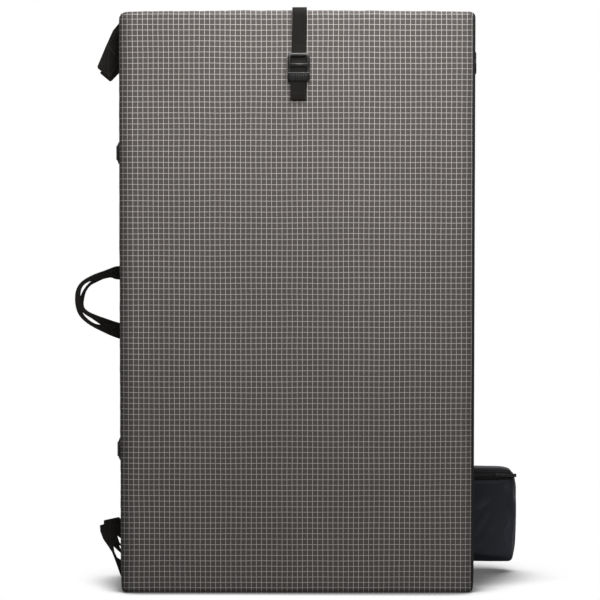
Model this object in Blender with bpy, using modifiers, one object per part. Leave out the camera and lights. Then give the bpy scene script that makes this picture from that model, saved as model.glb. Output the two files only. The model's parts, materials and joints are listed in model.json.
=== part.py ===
"""Bouldering crash pad, folded shut and standing on its short edge.

+X is to the right, +Y runs from the front half to the harness on the back half, +Z is up.
The origin is at the middle of the whole object's base. Each half opens about a fabric hinge
on its right edge. A reach is a distance from the fold plane, and a rise is a distance from
the surface that a piece lies on.
"""

import math

import bmesh
import bpy
from mathutils import Vector

QUARTER_TURN = math.pi / 2

# Pad halves
PAD_HEIGHT = 1.000
PAD_WIDTH = 0.610
HALF_THICKNESS = 0.100
FOLD_GAP = 0.0006
CROWN = 0.006
TOP_BOW = 0.0025
SIDE_BOW = 0.0020
CORNER_RADIUS = 0.013
EDGE_RADIUS = 0.007
COVER_WALL = 0.0015
LANDING_FOAM = 0.022
BASE_FOAM = 0.012
FOAM_EASE = 0.0005
CLEARANCE = 0.0003
ROUND_SEGMENTS = 3
CUTS_ACROSS = 8
CUTS_UP = 12
CUTS_DEEP = 4
FLAT_LIMIT = math.radians(50)
MERGE = 0.00001

# Fabric hinge and access zips on the right edge
HINGE_OFFSET = 0.005
LEAF_WALL = 0.0012
LEAF_DEPTH = 0.036
LEAF_FLARE = 0.010
LEAF_MARGIN = 0.018
ZIP_REACH = 0.066
ZIP_WIDTH = 0.024
ZIP_TAPE = 0.0009
ZIP_MARGIN = 0.055
SLIDER_WIDTH = 0.009
SLIDER_LENGTH = 0.012
SLIDER_HEIGHT = 0.0026
PULL_WIDTH = 0.006
PULL_LENGTH = 0.028
PULL_WALL = 0.0014

# Webbing
WEBBING = 0.025
WEB_WALL = 0.0013

# Carry handles
HANDLE_LOWERED = 0.005
HANDLE_SPAN = 0.103
HANDLE_REACH = 0.079
HANDLE_WALL = 0.003
HANDLE_SHARES = (
    (0, 0.5), (0.2, 0.517), (0.5, 0.449), (0.75, 0.372), (0.925, 0.261), (1, 0.107),
    (1, -0.03), (0.925, -0.15), (0.75, -0.27), (0.425, -0.355), (0.2, -0.44), (0, -0.5),
)
HANDLE_WIDTH_SHARES = (1, 0.92, 0.68, 0.55, 0.5, 0.5, 0.5, 0.5, 0.56, 0.68, 0.88, 1)

# Corner straps
CORNER_STRAP_REACH = 0.043
CORNER_STRAP_RUN = 0.099
CORNER_STRAP_INSET = 0.018
CORNER_STRAP_WALL = 0.0016
CORNER_STRAP_BEND = 0.0012
CORNER_TAB_WALL = 0.0015
CORNER_STRAP_SHARES = ((0, 0), (1, -0.74), (0.5, -0.925), (0, -0.556))
CORNER_TAB_SHARES = ((0.1, -0.513), (0.55, -0.66), (0.9, -0.843), (0.485, -1), (0.1, -0.825))

# Side release buckles
CLOSURE_INSET = 0.240
BUCKLE_WIDTH = 0.038
BUCKLE_THICKNESS = 0.0095
BUCKLE_LIFT = 0.0035
BUCKLE_WALL = 0.0018
BUCKLE_MOUTH = 0.0018
SOCKET_BODY = 0.0237
CAVITY_DEPTH = 0.0222
PLUG_BLOCK = 0.0070
PLUG_STOP = 0.0015
RAIL_LENGTH = 0.0065
RAIL_WALL = 0.0056
RAIL_THICKNESS = 0.0065
BAR_SIZE = 0.003
ARM_WIDTH = 0.0035
ARM_INSET = 0.0092
ARM_LENGTH = 0.0190
HEAD_START = 0.0124
HEAD_WIDTH = 0.0050
WINDOW_START = 0.0120
WINDOW_END = 0.0215
GUIDE_WIDTH = 0.005
GUIDE_LENGTH = 0.017
PRONG_THICKNESS = 0.0049
ANCHOR_RUN = 0.055
FOLD_BACK = 0.020

# Front closure strap and its ladderlock
STRAP_X = 0.004
LOCK_DROP = 0.1185
LOCK_WIDTH = 0.038
LOCK_LENGTH = 0.0475
LOCK_RAIL_INSET = 0.0131
LOCK_RAIL_BACK = 0.0025
LOCK_RAIL_FRONT = 0.0090
LIFT_LENGTH = 0.0150
LIFT_BACK = 0.0084
LIFT_FRONT = 0.0104
ANCHOR_BAR_Z = 0.0045
ANCHOR_BAR_RISE = 0.0034
ANCHOR_BAR_SIZE = 0.002
TOOTH_BAR_Z = 0.020
TOOTH_BAR_LENGTH = 0.008
TOOTH_BAR_BACK = 0.0032
TOOTH_BAR_FRONT = 0.0054
TOP_BAR_Z = 0.0413
TOP_BAR_LENGTH = 0.0062
TOP_BAR_BACK = 0.0050
OVER_BAR_RISE = 0.0071
TAIL_LENGTH = 0.032
TAIL_RISE = 0.0040
CREST_SLACK = 0.0038
STRAP_BEYOND_FOLD = 0.022

# Flat hook and its loop on top
HOOK_WIDTH = 0.033
HOOK_WALL = 0.0025
HOOK_BAR = 0.003
HOOK_SLOT = 0.0045
HOOK_WEB = 0.007
HOOK_LOOP_RUN = 0.045

# Shoulder straps
SHOULDER_X = 0.105
SHOULDER_INSET = 0.200
SHOULDER_PAD_END_Z = 0.430
SHOULDER_LOCK_Z = 0.325
SHOULDER_FOOT_Z = 0.255
SHOULDER_RISE = 0.018
SHOULDER_BOW = 0.050
SHOULDER_WIDTH = 0.062
SHOULDER_END_WIDTH = 0.038
SHOULDER_PAD = 0.014
SHOULDER_STEPS = 14
SHOULDER_TAB_RUN = 0.030
SHOULDER_TAB_CLIMB = 0.022
SHOULDER_TAIL = 0.058
PATCH_WIDTH = 0.300
PATCH_LOW_Z = 0.200
PATCH_INSET = 0.090
PATCH_WALL = 0.0012

# Haul loop
HAUL_INSET = 0.095
HAUL_SPAN = 0.090
HAUL_DROP = 0.062
HAUL_WALL = 0.003

# Hip belt
BELT_Z = 0.140
BELT_BASE_WIDTH = 0.120
BELT_BASE_HEIGHT = 0.110
WING_HEIGHT = 0.072
LEFT_WING_INSET = 0.005
RIGHT_WING_INSET = 0.008
WING_PAD = 0.008
BELT_RUN = 0.085
WING_RAMP_START = 0.085
WING_RAMP_LEAD = 0.024
BELT_PLUG_INSET = 0.105
BELT_SOCKET_INSET = 0.031

# Pouch
POUCH_OVERHANG = 0.089
POUCH_WIDTH = 0.170
POUCH_LOW_Z = 0.018
POUCH_HEIGHT = 0.175
POUCH_DEPTH = 0.050
POUCH_STANDOFF = 0.006
POUCH_WALL = 0.0016
POUCH_RADIUS = 0.012
POUCH_ZIP_DROP = 0.0145
POUCH_ZIP_OPENING = 0.007
POUCH_ZIP_MARGIN = 0.016
POUCH_SLIDER_INSET = 0.008
POUCH_PULL_LENGTH = 0.028

# Places that follow from the sizes above
HALF_WIDTH = PAD_WIDTH / 2
HINGE_X = HALF_WIDTH + HINGE_OFFSET
HANDLE_Z = PAD_HEIGHT / 2 - HANDLE_LOWERED
LOCK_Z = PAD_HEIGHT - LOCK_DROP
SHOULDER_TOP_Z = PAD_HEIGHT - SHOULDER_INSET
PATCH_HIGH_Z = PAD_HEIGHT - PATCH_INSET
HAUL_Z = PAD_HEIGHT - HAUL_INSET
POUCH_RIGHT = HALF_WIDTH + POUCH_OVERHANG
POUCH_LEFT = POUCH_RIGHT - POUCH_WIDTH
LEFT_WING_END = LEFT_WING_INSET - HALF_WIDTH
RIGHT_WING_END = POUCH_RIGHT - RIGHT_WING_INSET
WING_RAMP_END = POUCH_LEFT - WING_RAMP_LEAD
BELT_PLUG_X = BELT_PLUG_INSET - HALF_WIDTH
BELT_SOCKET_X = POUCH_LEFT + BELT_SOCKET_INSET
RIM_REACH = FOLD_GAP / 2 + COVER_WALL + CLEARANCE
FACE_REACH = HALF_THICKNESS + CROWN
WEB_RISE = CLEARANCE + WEB_WALL / 2
WING_REACH = FACE_REACH + POUCH_STANDOFF + POUCH_DEPTH + CLEARANCE
BACK_REACH = WING_REACH + WING_PAD + BUCKLE_LIFT + BUCKLE_THICKNESS
FRONT_REACH = FACE_REACH + LIFT_FRONT
SPLIT_Y = (FRONT_REACH - BACK_REACH) / 2
TOP_Z = PAD_HEIGHT + TOP_BOW
BAR_TURN = math.hypot(BAR_SIZE, BAR_SIZE) / 2 + CLEARANCE + WEB_WALL / 2
ANCHOR_TURN = math.hypot(ANCHOR_BAR_SIZE, ANCHOR_BAR_SIZE) / 2 + CLEARANCE + WEB_WALL / 2
HOOK_TURN = math.hypot(HOOK_BAR, HOOK_WALL) / 2 + CLEARANCE + WEB_WALL / 2
BUCKLE_MIDDLE = BUCKLE_LIFT + BUCKLE_THICKNESS / 2
SHOULDER_REACH = FACE_REACH + SHOULDER_RISE
LOCK_REACH = SHOULDER_REACH - ANCHOR_BAR_RISE

BACK = 1
FRONT = -1
SIDES = {"back": BACK, "front": FRONT}

PLANES = {
    "XY": (0, 0, 0),
    "XZ": (QUARTER_TURN, 0, 0),
    "YZ": (QUARTER_TURN, 0, QUARTER_TURN),
}


def clear_scene():
    for obj in list(bpy.data.objects):
        bpy.data.objects.remove(obj)


def make_collection(name):
    found = bpy.data.collections.new(name)
    bpy.context.scene.collection.children.link(found)
    return found


def make_material(name, color, roughness, metallic=0.0):
    material = bpy.data.materials.new(name)
    material.use_nodes = True
    shader = material.node_tree.nodes["Principled BSDF"]
    shader.inputs["Base Color"].default_value = (*color, 1)
    shader.inputs["Roughness"].default_value = roughness
    shader.inputs["Metallic"].default_value = metallic
    return material


clear_scene()
PARTS = make_collection("crash_pad")
CUTTERS = make_collection("crash_pad_cutters")
CUTTERS.hide_render = True

GRID_FABRIC = make_material("grid_fabric", (0.12, 0.11, 0.11), 0.75)
LANDING_FABRIC = make_material("landing_fabric", (0.03, 0.03, 0.032), 0.8)
CLOSED_FOAM = make_material("closed_foam", (0.05, 0.05, 0.055), 0.9)
OPEN_FOAM = make_material("open_foam", (0.55, 0.5, 0.38), 0.95)
WEBBING_BLACK = make_material("webbing_black", (0.025, 0.025, 0.025), 0.8)
MOULDED_BLACK = make_material("moulded_black", (0.03, 0.03, 0.03), 0.4)
ZIP_TAPE_BLACK = make_material("zip_tape_black", (0.02, 0.02, 0.02), 0.7)
ZIP_METAL = make_material("zip_metal", (0.12, 0.12, 0.13), 0.35, 0.9)
HOOK_ALLOY = make_material("hook_alloy", (0.55, 0.56, 0.58), 0.35, 1.0)
PADDED_MESH = make_material("padded_mesh", (0.028, 0.028, 0.03), 0.9)
POUCH_NYLON = make_material("pouch_nylon", (0.02, 0.021, 0.026), 0.5)


def axis_point(name, place):
    """An empty on a joint's axis, which carries the pieces that turn or slide there."""
    empty = bpy.data.objects.new(name, None)
    empty.location = place
    PARTS.objects.link(empty)
    return empty


def add_object(name, data, material, carrier=None):
    """Links an object whose place is in world terms and hangs it on its carrier."""
    obj = bpy.data.objects.new(name, data)
    if material:
        data.materials.append(material)
        PARTS.objects.link(obj)
    else:
        CUTTERS.objects.link(obj)
        obj.hide_render = True
        obj.display_type = "WIRE"
    if carrier:
        obj.parent = carrier
    return obj


def put(obj, place):
    """Moves an object to a place in world terms, under a carrier that isn't turned."""
    base = obj.parent.location if obj.parent else Vector()
    obj.location = Vector(place) - base
    return obj


def mesh_from(name, bm):
    bmesh.ops.recalc_face_normals(bm, faces=bm.faces)
    mesh = bpy.data.meshes.new(name)
    bm.to_mesh(mesh)
    bm.free()
    mesh.shade_smooth()
    mesh.set_sharp_from_angle(angle=FLAT_LIMIT)
    return mesh


def box_bmesh(low, high):
    bm = bmesh.new()
    bmesh.ops.create_cube(bm, size=1)
    for vert in bm.verts:
        for axis in range(3):
            middle = (low[axis] + high[axis]) / 2
            vert.co[axis] = middle + vert.co[axis] * (high[axis] - low[axis])
    return bm


def block(name, low, high, material, carrier=None, place=(0, 0, 0)):
    """A plain box between two corners."""
    corners = [sorted(pair) for pair in zip(low, high)]
    bm = box_bmesh([pair[0] for pair in corners], [pair[1] for pair in corners])
    return put(add_object(name, mesh_from(name, bm), material, carrier), place)


def combine(base, helper, operation):
    """Joins or cuts with a helper that stays where the base goes."""
    helper.parent = base
    change = base.modifiers.new(helper.name, "BOOLEAN")
    change.operation = operation
    change.object = helper
    change.solver = "EXACT"


def built_up(name, blocks, cuts, material, carrier, place, turn=0):
    """One moulded piece: boxes joined, then cut, all in the piece's own frame."""
    base = block(name, *blocks[0], material, carrier, place)
    base.rotation_euler = (0, 0, turn)
    for number, (low, high) in enumerate(blocks[1:]):
        combine(base, block(f"{name}_join_{number}", low, high, None), "UNION")
    for number, (low, high) in enumerate(cuts):
        combine(base, block(f"{name}_cut_{number}", low, high, None), "DIFFERENCE")
    return base


def curve_data(name, outlines, closed, fill, depth):
    curve = bpy.data.curves.new(name, "CURVE")
    curve.dimensions = "2D"
    curve.fill_mode = fill
    curve.extrude = depth / 2
    for outline in outlines:
        spline = curve.splines.new("POLY")
        spline.points.add(len(outline) - 1)
        spline.use_cyclic_u = closed
        spline.use_smooth = False
        for point, (across, along) in zip(spline.points, outline):
            point.co = (across, along, 0, 1)
    return curve


def in_plane(obj, plane, centre):
    """Turns a flat curve into a world plane and sets its middle at that height."""
    normal = {"XY": (0, 0, 1), "XZ": (0, 1, 0), "YZ": (1, 0, 0)}[plane]
    obj.rotation_euler = PLANES[plane]
    return put(obj, [part * centre for part in normal])


def sheet(name, outlines, plane, centre, wall, material, carrier):
    """A flat piece of even thickness: the first outline is its edge, others are holes."""
    data = curve_data(name, outlines, True, "BOTH", wall)
    obj = in_plane(add_object(name, data, material, carrier), plane, centre)
    weld = obj.modifiers.new("weld", "WELD")
    weld.merge_threshold = MERGE
    return obj


def ribbon(name, path, plane, centre, width, wall, material, carrier):
    """Webbing along a path in a plane, with its width square to that plane."""
    data = curve_data(name, [path], False, "NONE", width)
    obj = in_plane(add_object(name, data, material, carrier), plane, centre)
    thicken = obj.modifiers.new("thickness", "SOLIDIFY")
    thicken.thickness = wall
    thicken.offset = 0
    thicken.use_even_offset = True
    return obj


def arc(centre, radius, start, end, steps):
    """Points on a circle, angles in quarter turns from the first axis."""
    turns = [start + (end - start) * step / steps for step in range(steps + 1)]
    return [
        (
            centre[0] + radius * math.cos(turn * QUARTER_TURN),
            centre[1] + radius * math.sin(turn * QUARTER_TURN),
        )
        for turn in turns
    ]


def crown_at(x, z):
    """How far an outer face stands proud of its seams."""
    across = x / HALF_WIDTH
    up = 2 * z / PAD_HEIGHT - 1
    return CROWN * max(0, 1 - across**2) * max(0, 1 - up**2)


def side_bow_at(reach, z):
    """How far the left gusset stands proud of its seams."""
    deep = 2 * reach / HALF_THICKNESS - 1
    up = 2 * z / PAD_HEIGHT - 1
    return SIDE_BOW * max(0, 1 - deep**2) * max(0, 1 - up**2)


def grid_slab(low, high, cuts):
    """A box with its faces cut into a grid, so that they can bow."""
    bm = box_bmesh(low, high)
    for axis, count in enumerate(cuts):
        for step in range(1, count):
            place = [0, 0, 0]
            normal = [0, 0, 0]
            place[axis] = low[axis] + (high[axis] - low[axis]) * step / count
            normal[axis] = 1
            geometry = bm.verts[:] + bm.edges[:] + bm.faces[:]
            bmesh.ops.bisect_plane(bm, geom=geometry, plane_co=place, plane_no=normal)
    return bm


def round_corners(bm, low, high, radius):
    """Rounds the four corners that run through the thickness."""
    def at_corner(edge):
        first, second = (vert.co for vert in edge.verts)
        at_side = min(abs(first.x - low[0]), abs(first.x - high[0])) < radius / 2
        at_end = min(abs(first.z - low[2]), abs(first.z - high[2])) < radius / 2
        through = abs(first.x - second.x) + abs(first.z - second.z) < radius / 2
        return at_side and at_end and through

    edges = [edge for edge in bm.edges if at_corner(edge)]
    bmesh.ops.bevel(
        bm, geom=edges, offset=radius, segments=ROUND_SEGMENTS, profile=0.5, affect="EDGES"
    )


def bow(bm, side, outer_reach):
    """Bows the outer face, the top and the left side, and leaves the base and hinge side flat."""
    for vert in bm.verts:
        x, y, z = vert.co
        reach = side * y
        shift = Vector()
        if abs(reach - outer_reach) < MERGE:
            shift.y = side * crown_at(x, z)
        if abs(z - PAD_HEIGHT) < MERGE:
            shift.z = TOP_BOW * max(0, 1 - (x / HALF_WIDTH) ** 2)
        if abs(x + HALF_WIDTH) < MERGE:
            shift.x = -side_bow_at(reach, z)
        vert.co += shift


def make_cover(half, carrier):
    """Outer face and gussets sewn as a tray, open towards the landing panel."""
    side = SIDES[half]
    low = (-HALF_WIDTH, min(side * RIM_REACH, side * HALF_THICKNESS), 0)
    high = (HALF_WIDTH, max(side * RIM_REACH, side * HALF_THICKNESS), PAD_HEIGHT)
    bm = grid_slab(low, high, (CUTS_ACROSS, CUTS_DEEP, CUTS_UP))
    bow(bm, side, HALF_THICKNESS)
    round_corners(bm, low, high, CORNER_RADIUS)
    open_faces = [
        face for face in bm.faces
        if all(abs(side * vert.co.y - RIM_REACH) < MERGE for vert in face.verts)
    ]
    bmesh.ops.delete(bm, geom=open_faces, context="FACES")
    cover = add_object(f"{half}_cover", mesh_from(f"{half}_cover", bm), GRID_FABRIC, carrier)
    put(cover, (0, SPLIT_Y, 0))
    rim = cover.modifiers.new("rounded_seams", "BEVEL")
    rim.width = EDGE_RADIUS
    rim.segments = ROUND_SEGMENTS
    rim.limit_method = "ANGLE"
    rim.angle_limit = FLAT_LIMIT
    wall = cover.modifiers.new("fabric", "SOLIDIFY")
    wall.thickness = COVER_WALL
    wall.offset = -1
    wall.use_even_offset = True
    return cover


def make_landing_panel(half, carrier):
    """The fabric face that a climber lands on, folded to the inside."""
    side = SIDES[half]
    near = FOLD_GAP / 2
    far = near + COVER_WALL
    low = (-HALF_WIDTH, min(side * near, side * far), 0)
    high = (HALF_WIDTH, max(side * near, side * far), PAD_HEIGHT)
    bm = grid_slab(low, high, (CUTS_ACROSS, 1, 1))
    bow(bm, side, HALF_THICKNESS)
    round_corners(bm, low, high, CORNER_RADIUS)
    name = f"{half}_landing_panel"
    return put(add_object(name, mesh_from(name, bm), LANDING_FABRIC, carrier), (0, SPLIT_Y, 0))


def make_foam(name, half, near, far, material, carrier, outermost=False):
    """One foam layer, a snug fit in the cover."""
    side = SIDES[half]
    inset = COVER_WALL + FOAM_EASE
    low = (-HALF_WIDTH + inset, min(side * near, side * far), inset)
    high = (HALF_WIDTH - inset, max(side * near, side * far), PAD_HEIGHT - inset)
    cuts = (CUTS_ACROSS, 1, CUTS_UP) if outermost else (1, 1, 1)
    bm = grid_slab(low, high, cuts)
    round_corners(bm, low, high, CORNER_RADIUS - COVER_WALL)
    if outermost:
        bow(bm, side, far)
        crowned = add_object(name, mesh_from(name, bm), material, carrier)
        edge = crowned.modifiers.new("eased_edges", "BEVEL")
        edge.width = EDGE_RADIUS - COVER_WALL
        edge.segments = ROUND_SEGMENTS
        edge.limit_method = "ANGLE"
        edge.angle_limit = FLAT_LIMIT
        return put(crowned, (0, SPLIT_Y, 0))
    return put(add_object(name, mesh_from(name, bm), material, carrier), (0, SPLIT_Y, 0))


def make_foams(half, carrier):
    landing_far = RIM_REACH + LANDING_FOAM
    base_far = HALF_THICKNESS - COVER_WALL - FOAM_EASE
    base_near = base_far - BASE_FOAM
    make_foam(f"{half}_landing_foam", half, RIM_REACH, landing_far, CLOSED_FOAM, carrier)
    make_foam(
        f"{half}_core_foam", half, landing_far + CLEARANCE, base_near - CLEARANCE,
        OPEN_FOAM, carrier,
    )
    make_foam(f"{half}_base_foam", half, base_near, base_far, CLOSED_FOAM, carrier, True)


def make_hinge_leaf(half, carrier):
    """Half of the hinge fabric: sewn flat to the gusset, flaring out to the hinge line."""
    side = SIDES[half]
    tip = HINGE_OFFSET - CLEARANCE
    section = (
        (CLEARANCE, LEAF_DEPTH),
        (CLEARANCE + LEAF_WALL, LEAF_DEPTH),
        (CLEARANCE + LEAF_WALL, LEAF_FLARE),
        (tip, CLEARANCE + LEAF_WALL),
        (tip, CLEARANCE),
        (CLEARANCE, LEAF_FLARE - 2 * LEAF_WALL),
    )
    outline = [(HALF_WIDTH + out, SPLIT_Y + side * reach) for out, reach in section]
    length = PAD_HEIGHT - 2 * LEAF_MARGIN
    name = f"{half}_hinge_leaf"
    sheet(name, [outline], "XY", PAD_HEIGHT / 2, length, LANDING_FABRIC, carrier)


def make_access_zip(half, carrier, slider_carrier):
    """The zip that the foam goes in through, with its slider shut at the top."""
    side = SIDES[half]
    tape_out = CLEARANCE + ZIP_TAPE
    near = ZIP_REACH - ZIP_WIDTH / 2
    far = ZIP_REACH + ZIP_WIDTH / 2
    place = (HALF_WIDTH, SPLIT_Y, 0)
    block(
        f"{half}_zip_tape",
        (CLEARANCE, side * near, ZIP_MARGIN),
        (tape_out, side * far, PAD_HEIGHT - ZIP_MARGIN),
        ZIP_TAPE_BLACK, carrier, place,
    )
    slider_top = PAD_HEIGHT - ZIP_MARGIN - SLIDER_LENGTH
    slider_low = slider_top - SLIDER_LENGTH
    under = tape_out + CLEARANCE
    body = (
        (under, side * ZIP_REACH - SLIDER_WIDTH / 2, slider_low),
        (under + SLIDER_HEIGHT, side * ZIP_REACH + SLIDER_WIDTH / 2, slider_top),
    )
    pull = (
        (under + SLIDER_HEIGHT - PULL_WALL, side * ZIP_REACH - PULL_WIDTH / 2,
         slider_low - PULL_LENGTH),
        (under + SLIDER_HEIGHT, side * ZIP_REACH + PULL_WIDTH / 2,
         slider_low + SLIDER_LENGTH / 2),
    )
    built_up(f"{half}_zip_slider", [body, pull], [], ZIP_METAL, slider_carrier, place)


def band_outline(path, widths):
    """Both edges of a flat band that follows a path with a width at each point."""
    left, right = [], []
    for number, (point, width) in enumerate(zip(path, widths)):
        before = Vector(path[max(number - 1, 0)])
        after = Vector(path[min(number + 1, len(path) - 1)])
        along = (after - before).normalized()
        across = Vector((-along.y, along.x)) * width / 2
        left.append(tuple(Vector(point) + across))
        right.append(tuple(Vector(point) - across))
    return left + right[::-1]


def smoothed(points, steps):
    """Points on a smooth curve through the given ones."""
    found = []
    last = len(points) - 1
    for number in range(last):
        a, b, c, d = (
            Vector(points[min(max(number + shift, 0), last)]) for shift in (-1, 0, 1, 2)
        )
        for step in range(steps):
            t = step / steps
            found.append(
                tuple(
                    b + (c - a) * t / 2
                    + (a - b * 5 / 2 + c * 2 - d / 2) * t**2
                    + (b * 3 / 2 - a / 2 - c * 3 / 2 + d / 2) * t**3
                )
            )
    return found + [tuple(points[last])]


def make_handle(half, carrier, root_x):
    """A webbing loop sewn into the landing seam, folded narrow where it is held."""
    side = SIDES[half]
    path = [
        (root_x - share * HANDLE_REACH, HANDLE_Z + along * HANDLE_SPAN)
        for share, along in HANDLE_SHARES
    ]
    widths = [(share * WEBBING,) * 2 for share in HANDLE_WIDTH_SHARES]
    steps = 2
    path = smoothed(path, steps)
    widths = [pair[0] for pair in smoothed(widths, steps)]
    outline = band_outline(path, widths)
    outline = [(min(x, root_x), z) for x, z in outline]
    middle = SPLIT_Y + side * (HANDLE_WALL / 2 + CLEARANCE)
    sheet(f"{half}_handle", [outline], "XZ", middle, HANDLE_WALL, WEBBING_BLACK, carrier)


def make_corner_strap(name, up, carrier, root_x):
    """A doubled webbing strap standing out of the front half's gusset near one corner."""
    start = CORNER_STRAP_INSET if up else PAD_HEIGHT - CORNER_STRAP_INSET
    flip = -1 if up else 1

    def placed(shares):
        return [
            (root_x - out * CORNER_STRAP_REACH, start + flip * run * CORNER_STRAP_RUN)
            for out, run in shares
        ]

    middle = SPLIT_Y - HALF_THICKNESS / 2
    strap = f"{name}_corner_strap"
    tab = f"{name}_corner_tab"
    behind = middle + CORNER_STRAP_WALL / 2 + CLEARANCE + CORNER_TAB_WALL / 2
    sheet(strap, [placed(CORNER_STRAP_SHARES)], "XZ", middle, CORNER_STRAP_WALL,
          WEBBING_BLACK, carrier)
    sheet(tab, [placed(CORNER_TAB_SHARES)], "XZ", behind, CORNER_TAB_WALL,
          WEBBING_BLACK, carrier)


def webbing_tail(edge, direction):
    """Rails and bar at the webbing end of a buckle. Local -X is out, local Y the long axis."""
    half = BUCKLE_WIDTH / 2
    middle = -BUCKLE_MIDDLE
    reach = edge + direction * RAIL_LENGTH
    rails = [
        (
            (middle - RAIL_THICKNESS / 2, edge - direction * BUCKLE_WALL, sign * half),
            (middle + RAIL_THICKNESS / 2, reach, sign * (half - RAIL_WALL)),
        )
        for sign in (-1, 1)
    ]
    bar = (
        (middle - BAR_SIZE / 2, reach - direction * BAR_SIZE, -half + BUCKLE_WALL),
        (middle + BAR_SIZE / 2, reach, half - BUCKLE_WALL),
    )
    return rails + [bar]


def make_socket(name, carrier, place, turn=0):
    """The hollow half of a side release buckle, its mouth towards local -Y."""
    half = BUCKLE_WIDTH / 2
    inner = -BUCKLE_LIFT
    outer = -BUCKLE_LIFT - BUCKLE_THICKNESS
    end = BUCKLE_MOUTH + SOCKET_BODY
    body = ((outer, BUCKLE_MOUTH, -half), (inner, end, half))
    hollow = (
        (outer + BUCKLE_WALL, 0, -half + RAIL_WALL / 2),
        (inner - BUCKLE_WALL, CAVITY_DEPTH, half - RAIL_WALL / 2),
    )
    windows = (
        (outer + BUCKLE_WALL, WINDOW_START, -BUCKLE_WIDTH),
        (inner - BUCKLE_WALL, WINDOW_END, BUCKLE_WIDTH),
    )
    blocks = [body] + webbing_tail(end, 1)
    return built_up(name, blocks, [hollow, windows], MOULDED_BLACK, carrier, place, turn)


def make_plug(name, carrier, place, turn=0):
    """The pronged half of a side release buckle, its prongs towards local +Y."""
    half = BUCKLE_WIDTH / 2
    middle = -BUCKLE_MIDDLE
    start = PLUG_STOP - PLUG_BLOCK
    body = (
        (middle - BUCKLE_THICKNESS / 2, start, -half),
        (middle + BUCKLE_THICKNESS / 2, PLUG_STOP, half),
    )
    back, front = middle + PRONG_THICKNESS / 2, middle - PRONG_THICKNESS / 2
    prongs = [((front, 0, -GUIDE_WIDTH / 2), (back, GUIDE_LENGTH, GUIDE_WIDTH / 2))]
    for sign in (-1, 1):
        arm_inner = sign * ARM_INSET
        arm_outer = sign * (ARM_INSET + ARM_WIDTH)
        head_outer = sign * (ARM_INSET + ARM_WIDTH + HEAD_WIDTH)
        prongs.append(((front, 0, arm_inner), (back, ARM_LENGTH, arm_outer)))
        prongs.append(((front, HEAD_START, arm_inner), (back, ARM_LENGTH, head_outer)))
    blocks = [body] + prongs + webbing_tail(start, -1)
    return built_up(name, blocks, [], MOULDED_BLACK, carrier, place, turn)


def buckle_webbing_path(bar_edge, direction, run, rise_at):
    """Rise and length along: sewn flat, up to the bar, round it and folded back on itself."""
    bar = bar_edge + direction * (RAIL_LENGTH - BAR_SIZE / 2)
    steps = 6
    foot_start = bar + direction * run
    foot_end = bar + direction * FOLD_BACK
    count = 4
    foot = [
        (rise_at(at), at)
        for at in (
            foot_start + (foot_end - foot_start) * step / count for step in range(count + 1)
        )
    ]
    low = BUCKLE_MIDDLE - BAR_TURN
    turn = [
        (
            BUCKLE_MIDDLE - BAR_TURN * math.cos(QUARTER_TURN * 2 * step / steps),
            bar - direction * BAR_TURN * math.sin(QUARTER_TURN * 2 * step / steps),
        )
        for step in range(steps + 1)
    ]
    lead = [(low, bar + direction * FOLD_BACK / 3)]
    over = WEB_WALL + 2 * CLEARANCE
    back = [
        (low + over, bar + direction * FOLD_BACK / 2),
        (rise_at(foot_end) + over, foot_end),
        (rise_at(foot_end) + over, foot_end + direction * FOLD_BACK),
    ]
    return foot + lead + turn + back


def make_side_closure(name, z, back_carrier, front_carrier):
    """Plug and socket across the fold on the left, each on its own sewn webbing."""
    place = (-HALF_WIDTH, SPLIT_Y, z)
    make_socket(f"{name}_buckle_socket", back_carrier, place)
    make_plug(f"{name}_buckle_plug", front_carrier, place)

    def rise_at(along):
        return side_bow_at(abs(along), z) + WEB_RISE + CLEARANCE

    ends = (
        (f"{name}_socket_webbing", BUCKLE_MOUTH + SOCKET_BODY, 1, back_carrier),
        (f"{name}_plug_webbing", PLUG_STOP - PLUG_BLOCK, -1, front_carrier),
    )
    for webbing, edge, direction, carrier in ends:
        path = [
            (-HALF_WIDTH - rise, SPLIT_Y + along)
            for rise, along in buckle_webbing_path(edge, direction, ANCHOR_RUN, rise_at)
        ]
        ribbon(webbing, path, "XY", z, WEBBING, WEB_WALL, WEBBING_BLACK, carrier)


def make_ladderlock(name, carrier, place, turn=0):
    """Strap adjuster. Local Z runs along the strap, local -Y faces out from the pad."""
    half = LOCK_WIDTH / 2
    rails = [
        (
            (sign * LOCK_RAIL_INSET, -LOCK_RAIL_FRONT, 0),
            (sign * half, -LOCK_RAIL_BACK, LOCK_LENGTH),
        )
        for sign in (-1, 1)
    ]
    reach = (half + LOCK_RAIL_INSET) / 2
    anchor = ANCHOR_BAR_SIZE / 2
    bars = [
        ((-half, -LIFT_FRONT, 0), (half, -LIFT_BACK, LIFT_LENGTH)),
        (
            (-reach, -ANCHOR_BAR_RISE - anchor, ANCHOR_BAR_Z - anchor),
            (reach, -ANCHOR_BAR_RISE + anchor, ANCHOR_BAR_Z + anchor),
        ),
        (
            (-reach, -TOOTH_BAR_FRONT, TOOTH_BAR_Z),
            (reach, -TOOTH_BAR_BACK, TOOTH_BAR_Z + TOOTH_BAR_LENGTH),
        ),
        (
            (-reach, -LOCK_RAIL_FRONT, TOP_BAR_Z),
            (reach, -TOP_BAR_BACK, TOP_BAR_Z + TOP_BAR_LENGTH),
        ),
    ]
    return built_up(name, [bars[0]] + rails + bars[1:], [], MOULDED_BLACK, carrier, place, turn)


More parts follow.
